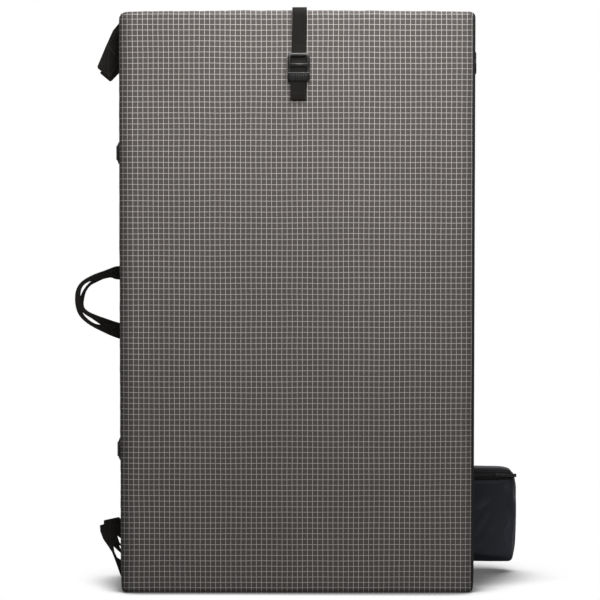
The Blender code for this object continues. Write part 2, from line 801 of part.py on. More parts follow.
def lock_thread():
    """Rise and height in a ladderlock of the webbing that runs through it, top to bottom."""
    over = OVER_BAR_RISE
    return [
        (TOP_BAR_BACK - CLEARANCE - 2 * WEB_WALL, TOP_BAR_Z + TOP_BAR_LENGTH),
        (TOP_BAR_BACK - CLEARANCE - WEB_WALL, TOP_BAR_Z),
        (over - WEB_WALL / 2, TOOTH_BAR_Z + TOOTH_BAR_LENGTH + 2 * WEB_WALL),
        (over, TOOTH_BAR_Z + TOOTH_BAR_LENGTH - WEB_WALL),
        (over + CLEARANCE, LIFT_LENGTH),
        (over + CLEARANCE, 0),
    ]


def lock_anchor(drop_path):
    """Rise and height of the webbing that holds a ladderlock by its anchor bar."""
    steps = 6
    turn = [
        (
            ANCHOR_BAR_RISE - ANCHOR_TURN * math.cos(QUARTER_TURN * 2 * step / steps),
            ANCHOR_BAR_Z + ANCHOR_TURN * math.sin(QUARTER_TURN * 2 * step / steps),
        )
        for step in range(steps + 1)
    ]
    return drop_path + turn + [(ANCHOR_BAR_RISE + ANCHOR_TURN, -ANCHOR_BAR_Z)]


def make_front_closure(carrier):
    """Strap over the top edge, through the ladderlock and down to its free tail."""
    lock_face = HALF_THICKNESS + crown_at(0, LOCK_Z + LOCK_LENGTH / 2)
    place = (STRAP_X, SPLIT_Y - lock_face, LOCK_Z)
    make_ladderlock("closure_ladderlock", carrier, place)

    def on_face(z):
        return HALF_THICKNESS + crown_at(0, z) + WEB_RISE

    steps = 3
    tail_z = LOCK_Z - TAIL_LENGTH
    sewn = [
        (on_face(z) - lock_face + CLEARANCE, z - LOCK_Z)
        for z in (tail_z - WEB_WALL + TAIL_LENGTH * step / (steps + 1) for step in range(steps + 1))
    ]
    anchor = [
        (SPLIT_Y - lock_face - rise, LOCK_Z + up) for rise, up in lock_anchor(sewn)
    ]
    ribbon("closure_anchor_tab", anchor, "YZ", STRAP_X, WEBBING, WEB_WALL, WEBBING_BLACK,
           carrier)

    thread = [(lock_face + rise, LOCK_Z + up) for rise, up in lock_thread()]
    tail = [
        (lock_face + OVER_BAR_RISE, LOCK_Z - ANCHOR_BAR_Z - WEB_WALL),
        (lock_face + (OVER_BAR_RISE + TAIL_RISE) / 2, LOCK_Z - TAIL_LENGTH * 2 / 3),
        (lock_face + TAIL_RISE, tail_z),
    ]
    edge_radius = EDGE_RADIUS + WEB_RISE + CREST_SLACK
    corner = arc(
        (HALF_THICKNESS - EDGE_RADIUS, TOP_Z - EDGE_RADIUS), edge_radius, 1, 0, steps * 2
    )
    lock_top = LOCK_Z + LOCK_LENGTH + TAIL_LENGTH / 2
    down = [(on_face(lock_top), lock_top)]
    flat = [
        (-STRAP_BEYOND_FOLD, TOP_Z + WEB_RISE),
        (HALF_THICKNESS / 2, TOP_Z + WEB_RISE),
    ]
    over = hook_turn(-STRAP_BEYOND_FOLD)
    path = [
        (SPLIT_Y - reach, z) for reach, z in over + flat + corner + down + thread + tail
    ]
    ribbon("closure_strap", path, "YZ", STRAP_X, WEBBING, WEB_WALL, WEBBING_BLACK, carrier)


def hook_turn(bar):
    """Webbing folded round a bar of the flat hook, free end first, its sewn end farther out."""
    middle = TOP_Z + WEB_RISE + HOOK_TURN
    steps = 6
    turn = [
        (
            bar - HOOK_TURN * math.sin(QUARTER_TURN * 2 * step / steps),
            middle + HOOK_TURN * math.cos(QUARTER_TURN * 2 * step / steps),
        )
        for step in range(steps)
    ]
    over = TOP_Z + WEB_RISE + WEB_WALL + CLEARANCE
    return [(bar + FOLD_BACK * 3 / 2, over), (bar + FOLD_BACK * 2 / 3, over)] + turn


def make_hook(front_carrier, back_carrier):
    """Flat hook held by the closure strap, and the webbing loop that it catches."""
    half = HOOK_WIDTH / 2
    throat = WEBBING / 2 + 2 * CLEARANCE
    first_bar = SPLIT_Y + STRAP_BEYOND_FOLD
    start = first_bar - HOOK_BAR / 2
    slot_start = start + HOOK_BAR
    slot_end = slot_start + HOOK_SLOT
    mouth_start = slot_end + HOOK_WEB
    mouth_end = mouth_start + HOOK_SLOT
    end = mouth_end + HOOK_BAR
    edge = [
        (STRAP_X - half, start), (STRAP_X + half, start), (STRAP_X + half, mouth_start),
        (STRAP_X - throat, mouth_start), (STRAP_X - throat, mouth_end),
        (STRAP_X + half, mouth_end), (STRAP_X + half, end), (STRAP_X - half, end),
    ]
    slot = [
        (STRAP_X - throat, slot_start), (STRAP_X + throat, slot_start),
        (STRAP_X + throat, slot_end), (STRAP_X - throat, slot_end),
    ]
    middle = TOP_Z + WEB_RISE + HOOK_TURN
    sheet("closure_hook", [edge, slot], "XY", middle, HOOK_WALL, HOOK_ALLOY, front_carrier)
    second_bar = end - HOOK_BAR / 2 - SPLIT_Y
    path = [(SPLIT_Y + reach, z) for reach, z in hook_turn(second_bar)]
    path.append((SPLIT_Y + second_bar, TOP_Z + WEB_RISE))
    path.append((SPLIT_Y + second_bar + HOOK_LOOP_RUN, TOP_Z + WEB_RISE))
    ribbon("hook_loop", path, "YZ", STRAP_X, WEBBING, WEB_WALL, WEBBING_BLACK, back_carrier)


def make_harness_patch(carrier):
    """Reinforcing fabric sewn over the back face, under the shoulder straps."""
    half = PATCH_WIDTH / 2
    low = (-half, HALF_THICKNESS + CLEARANCE, PATCH_LOW_Z)
    high = (half, HALF_THICKNESS + CLEARANCE + PATCH_WALL, PATCH_HIGH_Z)
    bm = grid_slab(low, high, (CUTS_ACROSS, 1, CUTS_UP))
    for vert in bm.verts:
        vert.co.y += crown_at(vert.co.x, vert.co.z)
    name = "harness_patch"
    put(add_object(name, mesh_from(name, bm), LANDING_FABRIC, carrier), (0, SPLIT_Y, 0))


def on_patch(x, z):
    """Reach of the middle of webbing that is sewn to the patch."""
    return HALF_THICKNESS + crown_at(x, z) + CLEARANCE + PATCH_WALL + CLEARANCE + WEB_RISE


def make_shoulder_tabs(name, x, carrier):
    """Fixed webbing ends that the shoulder strap turns on."""
    ends = (
        (f"{name}_strap_top_tab", SHOULDER_TOP_Z + 2 * CLEARANCE, 1),
        (f"{name}_strap_foot_tab", SHOULDER_FOOT_Z - CLEARANCE, -1),
    )
    for tab, z, direction in ends:
        bend = z + direction * 2 * WEB_WALL
        foot = bend + direction * SHOULDER_TAB_CLIMB
        top = foot + direction * SHOULDER_TAB_RUN
        path = [
            (SPLIT_Y + SHOULDER_REACH, z),
            (SPLIT_Y + SHOULDER_REACH, bend),
            (SPLIT_Y + on_patch(x, foot), foot),
            (SPLIT_Y + on_patch(x, top), top),
        ]
        ribbon(tab, path, "YZ", x, WEBBING, WEB_WALL, WEBBING_BLACK, carrier)


def shoulder_bow(share):
    """How far the padded strap stands out, as a share of its bow, along its length."""
    return math.sin(math.pi * share) ** 2


def make_shoulder_pad(name, x, carrier):
    """Padded strap that bows out from the back and narrows towards both ends."""
    length = SHOULDER_TOP_Z - SHOULDER_PAD_END_Z
    path = []
    for step in range(SHOULDER_STEPS + 1):
        share = step / SHOULDER_STEPS
        reach = SHOULDER_REACH + SHOULDER_BOW * shoulder_bow(share)
        path.append((SPLIT_Y + reach, SHOULDER_TOP_Z - length * share))
    pad = ribbon(name, path, "YZ", x, SHOULDER_WIDTH, SHOULDER_PAD, PADDED_MESH, carrier)
    bpy.context.view_layer.update()
    solid = bpy.data.meshes.new_from_object(pad.evaluated_get(bpy.context.evaluated_depsgraph_get()))
    material = pad.data.materials[0]
    bpy.data.objects.remove(pad)
    for vert in solid.vertices:
        share = (SHOULDER_TOP_Z - vert.co.y) / length
        swell = min(1, max(0, shoulder_bow(share)) ** 0.25)
        width = SHOULDER_END_WIDTH + (SHOULDER_WIDTH - SHOULDER_END_WIDTH) * swell
        vert.co.z *= width / SHOULDER_WIDTH
    solid.materials.clear()
    obj = in_plane(add_object(name, solid, material, carrier), "YZ", x)
    weld = obj.modifiers.new("weld", "WELD")
    weld.merge_threshold = MERGE
    soft = obj.modifiers.new("rounded", "BEVEL")
    soft.width = SHOULDER_PAD / 3
    soft.segments = 2
    soft.limit_method = "ANGLE"
    soft.angle_limit = FLAT_LIMIT
    return obj


def make_shoulder(name, x, back_carrier, carrier):
    make_shoulder_tabs(name, x, back_carrier)
    make_shoulder_pad(f"{name}_shoulder_pad", x, carrier)
    place = (x, SPLIT_Y + LOCK_REACH, SHOULDER_LOCK_Z)
    make_ladderlock(f"{name}_ladderlock", carrier, place, 2 * QUARTER_TURN)
    foot = SHOULDER_FOOT_Z + CLEARANCE - SHOULDER_LOCK_Z
    low = ANCHOR_BAR_RISE - ANCHOR_TURN
    drop = [
        (ANCHOR_BAR_RISE, foot),
        (ANCHOR_BAR_RISE, foot + 2 * WEB_WALL),
        (low, -ANCHOR_BAR_Z),
    ]
    anchor = [
        (SPLIT_Y + LOCK_REACH + rise, SHOULDER_LOCK_Z + up) for rise, up in lock_anchor(drop)
    ]
    ribbon(f"{name}_lock_tab", anchor, "YZ", x, WEBBING, WEB_WALL, WEBBING_BLACK, carrier)
    pad_end = SHOULDER_PAD_END_Z - 2 * CLEARANCE - SHOULDER_LOCK_Z
    lead = [(ANCHOR_BAR_RISE, pad_end), (ANCHOR_BAR_RISE, pad_end - 2 * WEB_WALL)]
    tail = [(OVER_BAR_RISE, -SHOULDER_TAIL)]
    path = [
        (SPLIT_Y + LOCK_REACH + rise, SHOULDER_LOCK_Z + up)
        for rise, up in lead + lock_thread() + tail
    ]
    ribbon(f"{name}_adjuster_webbing", path, "YZ", x, WEBBING, WEB_WALL, WEBBING_BLACK,
           carrier)


def make_haul_loop(carrier, reach):
    """Webbing loop that hangs between the shoulder straps."""
    half = HAUL_SPAN / 2
    bend = HAUL_DROP - half
    path = [(-half, HAUL_Z), (-half, HAUL_Z - bend)]
    path += [
        (-across, HAUL_Z - bend - drop) for across, drop in arc((0, 0), half, 0, 2, 10)
    ][1:-1]
    path += [(half, HAUL_Z - bend), (half, HAUL_Z)]
    grip = WEBBING / 2
    widths = [WEBBING, WEBBING * 3 / 4] + [grip] * (len(path) - 4) + [WEBBING * 3 / 4, WEBBING]
    outline = [(x, min(z, HAUL_Z)) for x, z in band_outline(path, widths)]
    middle = SPLIT_Y + reach
    sheet("haul_loop", [outline], "XZ", middle, HAUL_WALL, WEBBING_BLACK, carrier)


def make_belt_base(carrier):
    """The middle of the hip belt, sewn to the back face."""
    half = BELT_BASE_WIDTH / 2
    near = HALF_THICKNESS + crown_at(0, BELT_Z + BELT_BASE_HEIGHT / 2) + CLEARANCE
    block(
        "belt_base",
        (-half, near, BELT_Z - BELT_BASE_HEIGHT / 2),
        (half, near + WING_PAD, BELT_Z + BELT_BASE_HEIGHT / 2),
        PADDED_MESH, carrier, (0, SPLIT_Y, 0),
    )
    return near + WING_PAD


def make_wing(name, path, carrier):
    """A padded belt wing of even height that follows a path seen from above."""
    wing = ribbon(name, path, "XY", BELT_Z, WING_HEIGHT, WING_PAD, PADDED_MESH, carrier)
    weld = wing.modifiers.new("weld", "WELD")
    weld.merge_threshold = MERGE


def belt_webbing(name, edge, direction, x, reach, carrier):
    """Webbing sewn along a wing and folded round its buckle's bar."""
    def rise_at(along):
        return WEB_RISE

    path = [
        (x + along, SPLIT_Y + reach + rise)
        for rise, along in buckle_webbing_path(edge, direction, BELT_RUN, rise_at)
    ]
    ribbon(name, path, "XY", BELT_Z, WEBBING, WEB_WALL, WEBBING_BLACK, carrier)


def make_belt(outer, left_carrier, right_carrier):
    """Both wings with their webbing and the belt's buckle."""
    start = BELT_BASE_WIDTH / 2 + CLEARANCE
    middle = SPLIT_Y + outer - WING_PAD / 2
    make_wing("left_belt_wing", [(LEFT_WING_END, middle), (-start, middle)], left_carrier)
    make_plug(
        "belt_plug", left_carrier, (BELT_PLUG_X, SPLIT_Y + outer, BELT_Z), -QUARTER_TURN
    )
    belt_webbing("left_belt_webbing", PLUG_STOP - PLUG_BLOCK, -1, BELT_PLUG_X, outer,
                 left_carrier)

    far = SPLIT_Y + WING_REACH + WING_PAD / 2
    path = [
        (start, middle), (WING_RAMP_START, middle), (WING_RAMP_END, far),
        (RIGHT_WING_END, far),
    ]
    make_wing("right_belt_wing", path, right_carrier)
    surface = WING_REACH + WING_PAD
    make_socket(
        "belt_socket", right_carrier, (BELT_SOCKET_X, SPLIT_Y + surface, BELT_Z),
        -QUARTER_TURN,
    )
    belt_webbing("right_belt_webbing", BUCKLE_MOUTH + SOCKET_BODY, 1, BELT_SOCKET_X, surface,
                 right_carrier)


def make_pouch(carrier, slider_carrier):
    """Zipped pouch on the right wing, hollow, with its zip along the top of the front."""
    near = FACE_REACH + POUCH_STANDOFF
    far = near + POUCH_DEPTH
    high_z = POUCH_LOW_Z + POUCH_HEIGHT
    zip_z = high_z - POUCH_ZIP_DROP
    wall = POUCH_WALL
    pouch = block(
        "pouch_body", (POUCH_LEFT, near, POUCH_LOW_Z), (POUCH_RIGHT, far, high_z),
        POUCH_NYLON, carrier, (0, SPLIT_Y, 0),
    )
    soft = pouch.modifiers.new("rounded", "BEVEL")
    soft.width = POUCH_RADIUS
    soft.segments = ROUND_SEGMENTS
    hollow = block(
        "pouch_hollow",
        (POUCH_LEFT + wall, near + wall, POUCH_LOW_Z + wall),
        (POUCH_RIGHT - wall, far - wall, high_z - wall), None,
    )
    eased = hollow.modifiers.new("rounded", "BEVEL")
    eased.width = POUCH_RADIUS - wall
    eased.segments = ROUND_SEGMENTS
    combine(pouch, hollow, "DIFFERENCE")
    zip_left = POUCH_LEFT + POUCH_ZIP_MARGIN
    zip_right = POUCH_RIGHT - POUCH_ZIP_MARGIN
    slot = block(
        "pouch_mouth",
        (zip_left, near - wall, zip_z - POUCH_ZIP_OPENING / 2),
        (zip_right, near + 2 * wall, zip_z + POUCH_ZIP_OPENING / 2), None,
    )
    combine(pouch, slot, "DIFFERENCE")
    tape_near = near - CLEARANCE - ZIP_TAPE
    block(
        "pouch_zip_tape",
        (zip_left - wall, tape_near, zip_z - POUCH_ZIP_OPENING),
        (zip_right + wall, near - CLEARANCE, zip_z + POUCH_ZIP_OPENING),
        ZIP_TAPE_BLACK, carrier, (0, SPLIT_Y, 0),
    )
    slider_right = POUCH_RIGHT - POUCH_ZIP_MARGIN - POUCH_SLIDER_INSET
    front = tape_near - CLEARANCE
    body = (
        (slider_right - SLIDER_LENGTH, front - SLIDER_HEIGHT, zip_z - SLIDER_WIDTH / 2),
        (slider_right, front, zip_z + SLIDER_WIDTH / 2),
    )
    pull = (
        (slider_right - PULL_WALL, front - SLIDER_HEIGHT, zip_z - PULL_WIDTH / 2),
        (slider_right + POUCH_PULL_LENGTH, front - SLIDER_HEIGHT + PULL_WALL,
         zip_z + PULL_WIDTH / 2),
    )
    built_up("pouch_zip_slider", [body, pull], [], ZIP_METAL, slider_carrier,
             (0, SPLIT_Y, 0))


def make_half(half, carrier, slider_carrier):
    make_cover(half, carrier)
    make_landing_panel(half, carrier)
    make_foams(half, carrier)
    make_hinge_leaf(half, carrier)
    make_access_zip(half, carrier, slider_carrier)


def main():
    back = axis_point("back_half", (0, SPLIT_Y, 0))
    front = axis_point("front_half", (HINGE_X, SPLIT_Y, 0))
    carriers = {"back": back, "front": front}
    handle_root = -HALF_WIDTH - 2 * CLEARANCE
    for half, carrier in carriers.items():
        side = SIDES[half]
        zip_place = (HALF_WIDTH, SPLIT_Y + side * ZIP_REACH, PAD_HEIGHT - ZIP_MARGIN)
        make_half(half, carrier, axis_point(f"{half}_zip_axis", zip_place))
        handle_face = SPLIT_Y + side * (CLEARANCE + HANDLE_WALL)
        handle_place = (handle_root, handle_face, HANDLE_Z)
        make_handle(half, axis_point(f"{half}_handle_axis", handle_place), handle_root)

    sewn_run = -CORNER_STRAP_SHARES[-1][1] * CORNER_STRAP_RUN
    bow_there = side_bow_at(HALF_THICKNESS / 2, CORNER_STRAP_INSET + sewn_run)
    strap_root = -HALF_WIDTH - bow_there - CLEARANCE
    strap_axis = (strap_root - CORNER_STRAP_BEND, SPLIT_Y - HALF_THICKNESS / 2)
    for name, up in (("top", False), ("bottom", True)):
        z = CORNER_STRAP_INSET if up else PAD_HEIGHT - CORNER_STRAP_INSET
        carrier = axis_point(f"{name}_corner_axis", (*strap_axis, z))
        make_corner_strap(name, up, carrier, strap_root)

    for name, z in (("lower", CLOSURE_INSET), ("upper", PAD_HEIGHT - CLOSURE_INSET)):
        make_side_closure(name, z, back, front)
    make_front_closure(front)
    make_hook(front, back)

    make_harness_patch(back)
    for name, x in (("left", -SHOULDER_X), ("right", SHOULDER_X)):
        place = (x, SPLIT_Y + SHOULDER_REACH, SHOULDER_FOOT_Z)
        make_shoulder(name, x, back, axis_point(f"{name}_shoulder_axis", place))
    haul_reach = HALF_THICKNESS + crown_at(0, HAUL_Z - HAUL_DROP - WEBBING / 4)
    haul_reach += 2 * CLEARANCE + PATCH_WALL + HAUL_WALL / 2 + CLEARANCE
    haul = axis_point("haul_axis", (0, SPLIT_Y + haul_reach, HAUL_Z))
    make_haul_loop(haul, haul_reach)

    outer = make_belt_base(back)
    wing_x = BELT_BASE_WIDTH / 2 + CLEARANCE / 2
    left_wing = axis_point("left_wing_axis", (-wing_x, SPLIT_Y + outer, BELT_Z))
    right_wing = axis_point("right_wing_axis", (wing_x, SPLIT_Y + outer, BELT_Z))
    make_belt(outer, left_wing, right_wing)
    pouch_zip = axis_point(
        "pouch_zip_axis", (POUCH_RIGHT, SPLIT_Y + FACE_REACH, POUCH_LOW_Z + POUCH_HEIGHT)
    )
    make_pouch(right_wing, pouch_zip)
    bpy.context.view_layer.update()


main()
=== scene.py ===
"""Folding bouldering crash pad, dressed in its fabric, webbing, padding and moulded pieces."""

import functools
import json
import math

import bmesh
import bpy
import numpy as np
from bpy.props import FloatProperty, FloatVectorProperty, PointerProperty
from mathutils import Matrix, Vector

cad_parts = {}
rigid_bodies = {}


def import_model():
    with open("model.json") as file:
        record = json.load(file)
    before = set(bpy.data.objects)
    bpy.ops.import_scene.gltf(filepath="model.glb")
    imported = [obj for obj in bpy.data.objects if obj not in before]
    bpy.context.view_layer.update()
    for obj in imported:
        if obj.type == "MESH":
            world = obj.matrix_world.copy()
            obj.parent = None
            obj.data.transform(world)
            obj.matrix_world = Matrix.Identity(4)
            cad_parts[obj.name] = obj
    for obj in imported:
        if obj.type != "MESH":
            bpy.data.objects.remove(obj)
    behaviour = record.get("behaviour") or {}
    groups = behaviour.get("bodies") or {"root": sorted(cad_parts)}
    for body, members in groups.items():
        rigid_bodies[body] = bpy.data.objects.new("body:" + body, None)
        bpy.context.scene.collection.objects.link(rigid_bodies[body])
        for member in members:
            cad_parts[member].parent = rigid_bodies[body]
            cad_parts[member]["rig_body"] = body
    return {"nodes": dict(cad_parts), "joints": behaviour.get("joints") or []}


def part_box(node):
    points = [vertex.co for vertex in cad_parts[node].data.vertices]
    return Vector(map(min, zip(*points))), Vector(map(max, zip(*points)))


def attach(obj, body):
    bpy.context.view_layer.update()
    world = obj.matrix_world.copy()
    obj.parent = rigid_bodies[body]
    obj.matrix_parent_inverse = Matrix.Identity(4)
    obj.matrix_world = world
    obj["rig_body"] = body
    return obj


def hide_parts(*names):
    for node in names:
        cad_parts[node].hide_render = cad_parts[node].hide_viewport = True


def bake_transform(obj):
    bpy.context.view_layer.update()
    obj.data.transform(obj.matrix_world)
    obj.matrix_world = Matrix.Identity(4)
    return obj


bl_info = {
    "name": "Folding Crash Pad",
    "version": (1, 0, 0),
    "blender": (4, 5, 0),
    "location": "View3D > Sidebar > Crash Pad",
    "description": "Dresses the folding bouldering pad in cloth, webbing, padding and hardware",
    "category": "Object",
}

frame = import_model()
NODES = frame["nodes"]
JOINTS = {joint["name"]: joint for joint in frame["joints"]}
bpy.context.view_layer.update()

HINGE_X, SPLIT_Y, _ = JOINTS["fold_hinge"]["pos_m"]
PAD_HALF_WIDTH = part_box("front_landing_panel")[1].x
PAD_HEIGHT = 1.0
HALF_THICKNESS = 0.100
CROWN = 0.006
TOP_BOW = 0.0025
SIDE_BOW = 0.0020
CORNER_RADIUS = 0.013
CORNER_STEPS = 6
CORNER_POWERS = (3.0, 2.8, 1.85, 3.2)
EDGE_RADIUS = 0.007
RIM_REACH = 0.0021
GUSSET_SEAM = 0.0048
COVER_WALL = 0.0011
HINGE_WALL = 0.0012
WEB_WALL = 0.0013
BELT_THICK = 0.008
SHOULDER_THICK = 0.014
SLIDER_LONG = 0.012
SIDES = {"back": 1, "front": -1}
HANDS = ("left", "right")

MERGE_DISTANCE = 0.00001
SAME_SPOT = 0.0001
TURN = 2 * math.pi


# ---------------------------------------------------------------- settings

class CrashPadClothSettings(bpy.types.PropertyGroup):
    """Sizes and colours of the cover cloth"""

    pitch_across: FloatProperty(
        name="Grid Pitch Across", description="Spacing of the upright ripstop threads",
        default=0.0088, min=0.002, max=0.05, unit="LENGTH")
    pitch_up: FloatProperty(
        name="Grid Pitch Up", description="Spacing of the level ripstop threads",
        default=0.0094, min=0.002, max=0.05, unit="LENGTH")
    line_width: FloatProperty(
        name="Grid Line", description="Breadth of one ripstop thread bundle",
        default=0.00078, min=0.0002, max=0.005, unit="LENGTH")
    ground: FloatVectorProperty(
        name="Cloth", description="Colour between the grid lines",
        default=(0.105, 0.095, 0.091), min=0, max=1, subtype="COLOR")
    line: FloatVectorProperty(
        name="Grid Thread", description="Colour of the ripstop threads",
        default=(0.61, 0.585, 0.56), min=0, max=1, subtype="COLOR")
    landing: FloatVectorProperty(
        name="Landing Cloth", description="Colour of the panels that are landed on",
        default=(0.024, 0.0235, 0.024), min=0, max=1, subtype="COLOR")
    pucker: FloatProperty(
        name="Pucker", description="How far the cloth gathers beside its seams",
        default=0.0003, min=0, max=0.003, unit="LENGTH")
    foam_core: FloatVectorProperty(
        name="Core Foam", description="Colour of the open-cell core",
        default=(0.55, 0.47, 0.30), min=0, max=1, subtype="COLOR")


class CrashPadWebbingSettings(bpy.types.PropertyGroup):
    """Sizes and colours of the webbing"""

    colour: FloatVectorProperty(
        name="Webbing", description="Colour of the straps",
        default=(0.0155, 0.0145, 0.0130), min=0, max=1, subtype="COLOR")
    rib: FloatProperty(
        name="Rib Pitch", description="Spacing of the woven ribs along a strap",
        default=0.0012, min=0.0004, max=0.005, unit="LENGTH")
    thread: FloatVectorProperty(
        name="Sewing Thread", description="Colour of the stitching on the straps",
        default=(0.055, 0.053, 0.052), min=0, max=1, subtype="COLOR")


class CrashPadHardwareSettings(bpy.types.PropertyGroup):
    """Colours of buckles, zips and the hook"""

    moulded: FloatVectorProperty(
        name="Moulded Plastic", description="Colour of buckles and strap locks",
        default=(0.0085, 0.0082, 0.0080), min=0, max=1, subtype="COLOR")
    zip_metal: FloatVectorProperty(
        name="Zip Slider", description="Colour of the painted sliders",
        default=(0.010, 0.010, 0.0105), min=0, max=1, subtype="COLOR")
    tape: FloatVectorProperty(
        name="Zip Tape", description="Colour of the zip tapes and their coils",
        default=(0.0125, 0.0125, 0.0132), min=0, max=1, subtype="COLOR")
    hook: FloatVectorProperty(
        name="Hook Alloy", description="Colour of the flat hook",
        default=(0.55, 0.56, 0.58), min=0, max=1, subtype="COLOR")


class CrashPadPaddingSettings(bpy.types.PropertyGroup):
    """Sizes and colours of the padded pieces and the pouch"""

    mesh_colour: FloatVectorProperty(
        name="Spacer Mesh", description="Colour of the harness padding",
        default=(0.030, 0.030, 0.032), min=0, max=1, subtype="COLOR")
    pouch: FloatVectorProperty(
        name="Pouch Nylon", description="Colour of the belt pouch",
        default=(0.034, 0.0355, 0.0435), min=0, max=1, subtype="COLOR")
    swell: FloatProperty(
        name="Swell", description="How far the padding may swell in the simulation",
        default=0.003, min=0, max=0.02, unit="LENGTH")
    fold_depth: FloatProperty(
        name="Pouch Folds", description="Depth of the soft folds in the pouch",
        default=0.0024, min=0, max=0.01, unit="LENGTH")


class CrashPadStageSettings(bpy.types.PropertyGroup):
    """Camera and light"""

    camera_distance: FloatProperty(
        name="Camera Distance", description="From the pad's front face to the camera",
        default=4.0, min=0.5, max=50, unit="LENGTH")
    camera_height: FloatProperty(
        name="Camera Height", description="Height of the camera above the floor",
        default=0.69989, min=0, max=20, unit="LENGTH")
    camera_aside: FloatProperty(
        name="Camera Aside", description="How far the camera stands to the right",
        default=0.00473, min=-5, max=5, unit="LENGTH")
    camera_pitch: FloatProperty(
        name="Camera Pitch", description="How far the camera looks down",
        default=math.radians(2.762), min=-1.5, max=1.5, subtype="ANGLE")
    lens: FloatProperty(
        name="Lens", description="Focal length for a 36 mm frame, in millimetres",
        default=139.96, min=10, max=500)
    key_power: FloatProperty(
        name="Front Light", description="Power of the soft lamp before the pad",
        default=18.0, min=0, max=2000, unit="POWER")
    top_power: FloatProperty(
        name="Top Light", description="Power of the soft lamp above the pad",
        default=18.0, min=0, max=2000, unit="POWER")
    back_power: FloatProperty(
        name="Back Light", description="Power of the soft lamp behind the pad",
        default=30.0, min=0, max=2000, unit="POWER")
    fill: FloatProperty(
        name="Fill", description="Brightness of the even surrounding light",
        default=0.07, min=0, max=5)


# ---------------------------------------------------------------- wiring of node trees

def rgba(colour, scale=1.0):
    return tuple(min(1.0, part * scale) for part in colour) + (1.0,)


class Wiring:
    """Adds nodes to one tree. A value is a number, a colour or another node's output."""

    def __init__(self, tree):
        self.tree = tree

    def put(self, value, socket):
        if isinstance(value, bpy.types.NodeSocket):
            self.tree.links.new(value, socket)
        else:
            socket.default_value = value

    def add(self, kind, sockets=None, **settings):
        """Adds a node; sockets maps its input names or numbers to values."""
        node = self.tree.nodes.new(kind)
        for key, value in settings.items():
            setattr(node, key, value)
        for key, value in (sockets or {}).items():
            self.put(value, node.inputs[key])
        return node

    def calc(self, operation, *values):
        return self.add("ShaderNodeMath", dict(enumerate(values)),
                        operation=operation).outputs[0]

    def times(self, *values):
        return functools.reduce(lambda a, b: self.calc("MULTIPLY", a, b), values)

    def plus(self, first, second):
        return self.calc("ADD", first, second)

    def minus(self, first, second):
        return self.calc("SUBTRACT", first, second)

    def over(self, first, second):
        return self.calc("DIVIDE", first, second)

    def blended(self, value, scale, offset):
        """A value times a scale, plus an offset."""
        return self.calc("MULTIPLY_ADD", value, scale, offset)

    def size(self, value):
        return self.calc("ABSOLUTE", value)

    def back_and_forth(self, value, reach=0.5):
        return self.calc("PINGPONG", value, reach)

    def ranged(self, value, low, high, to_low=0.0, to_high=1.0, kind="LINEAR"):
        """Maps a value from one range to another, held at its ends."""
        sockets = {"Value": value, "From Min": low, "From Max": high,
                   "To Min": to_low, "To Max": to_high}
        return self.add("ShaderNodeMapRange", sockets, interpolation_type=kind,
                        clamp=True).outputs["Result"]

    def eased(self, value, low, high, to_low=0.0, to_high=1.0):
        """The same with a soft start and end."""
        return self.ranged(value, low, high, to_low, to_high, "SMOOTHSTEP")

    def mixed(self, factor, first, second, blend="MIX"):
        node = self.add("ShaderNodeMix", data_type="RGBA", blend_type=blend)
        places = {item.identifier: item for item in node.inputs}
        self.put(factor, places["Factor_Float"])
        self.put(first, places["A_Color"])
        self.put(second, places["B_Color"])
        return next(item for item in node.outputs if item.identifier == "Result_Color")

    def grey(self, value):
        return self.add("ShaderNodeCombineColor",
                        {"Red": value, "Green": value, "Blue": value}).outputs[0]

    def shaded(self, colour, *shades):
        """A colour multiplied by one or more grey values."""
        return self.mixed(1.0, rgba(colour), self.grey(self.times(*shades)), "MULTIPLY")

    def noise(self, place, scale, detail, output="Fac", **more):
        """A noise texture; more holds its other inputs, such as Roughness."""
        sockets = {"Vector": place, "Scale": scale, "Detail": detail, **more}
        return self.add("ShaderNodeTexNoise", sockets).outputs[output]

    def cells(self, place, scale, **more):
        sockets = {"Vector": place, "Scale": scale, **more}
        return self.add("ShaderNodeTexVoronoi", sockets, feature="F1").outputs["Distance"]

    def split(self, vector):
        """The X, Y and Z of a vector."""
        return tuple(self.add("ShaderNodeSeparateXYZ", {0: vector}).outputs)

    def joined(self, x, y, z=0.0):
        return self.add("ShaderNodeCombineXYZ", {"X": x, "Y": y, "Z": z}).outputs[0]

    def shifted(self, operation, vector, other):
        return self.add("ShaderNodeVectorMath", {0: vector, 1: other},
                        operation=operation).outputs[0]

    def direct_view(self):
        """1 for what the camera sees itself, in a mirror or through glass."""
        rays = self.add("ShaderNodeLightPath").outputs
        return self.calc("MAXIMUM", rays["Is Camera Ray"], self.calc(
            "MAXIMUM", rays["Is Glossy Ray"], rays["Is Transmission Ray"]))


# ---------------------------------------------------------------- shared effects

class Effect(Wiring):
    """A shared node group. Inputs map labels to defaults, None for a vector."""

    def __init__(self, name, inputs, outputs):
        super().__init__(bpy.data.node_groups.new(name, "ShaderNodeTree"))
        for label, default in inputs.items():
            kind = "NodeSocketVector" if default is None else "NodeSocketFloat"
            socket = self.tree.interface.new_socket(label, in_out="INPUT", socket_type=kind)
            if default is not None:
                socket.default_value = default
        for label in outputs:
            self.tree.interface.new_socket(label, in_out="OUTPUT",
                                           socket_type="NodeSocketFloat")
        self.given = self.tree.nodes.new("NodeGroupInput").outputs
        self.results = self.tree.nodes.new("NodeGroupOutput").inputs

    def give(self, **results):
        for label, value in results.items():
            self.tree.links.new(value, self.results[label])
        return self.tree


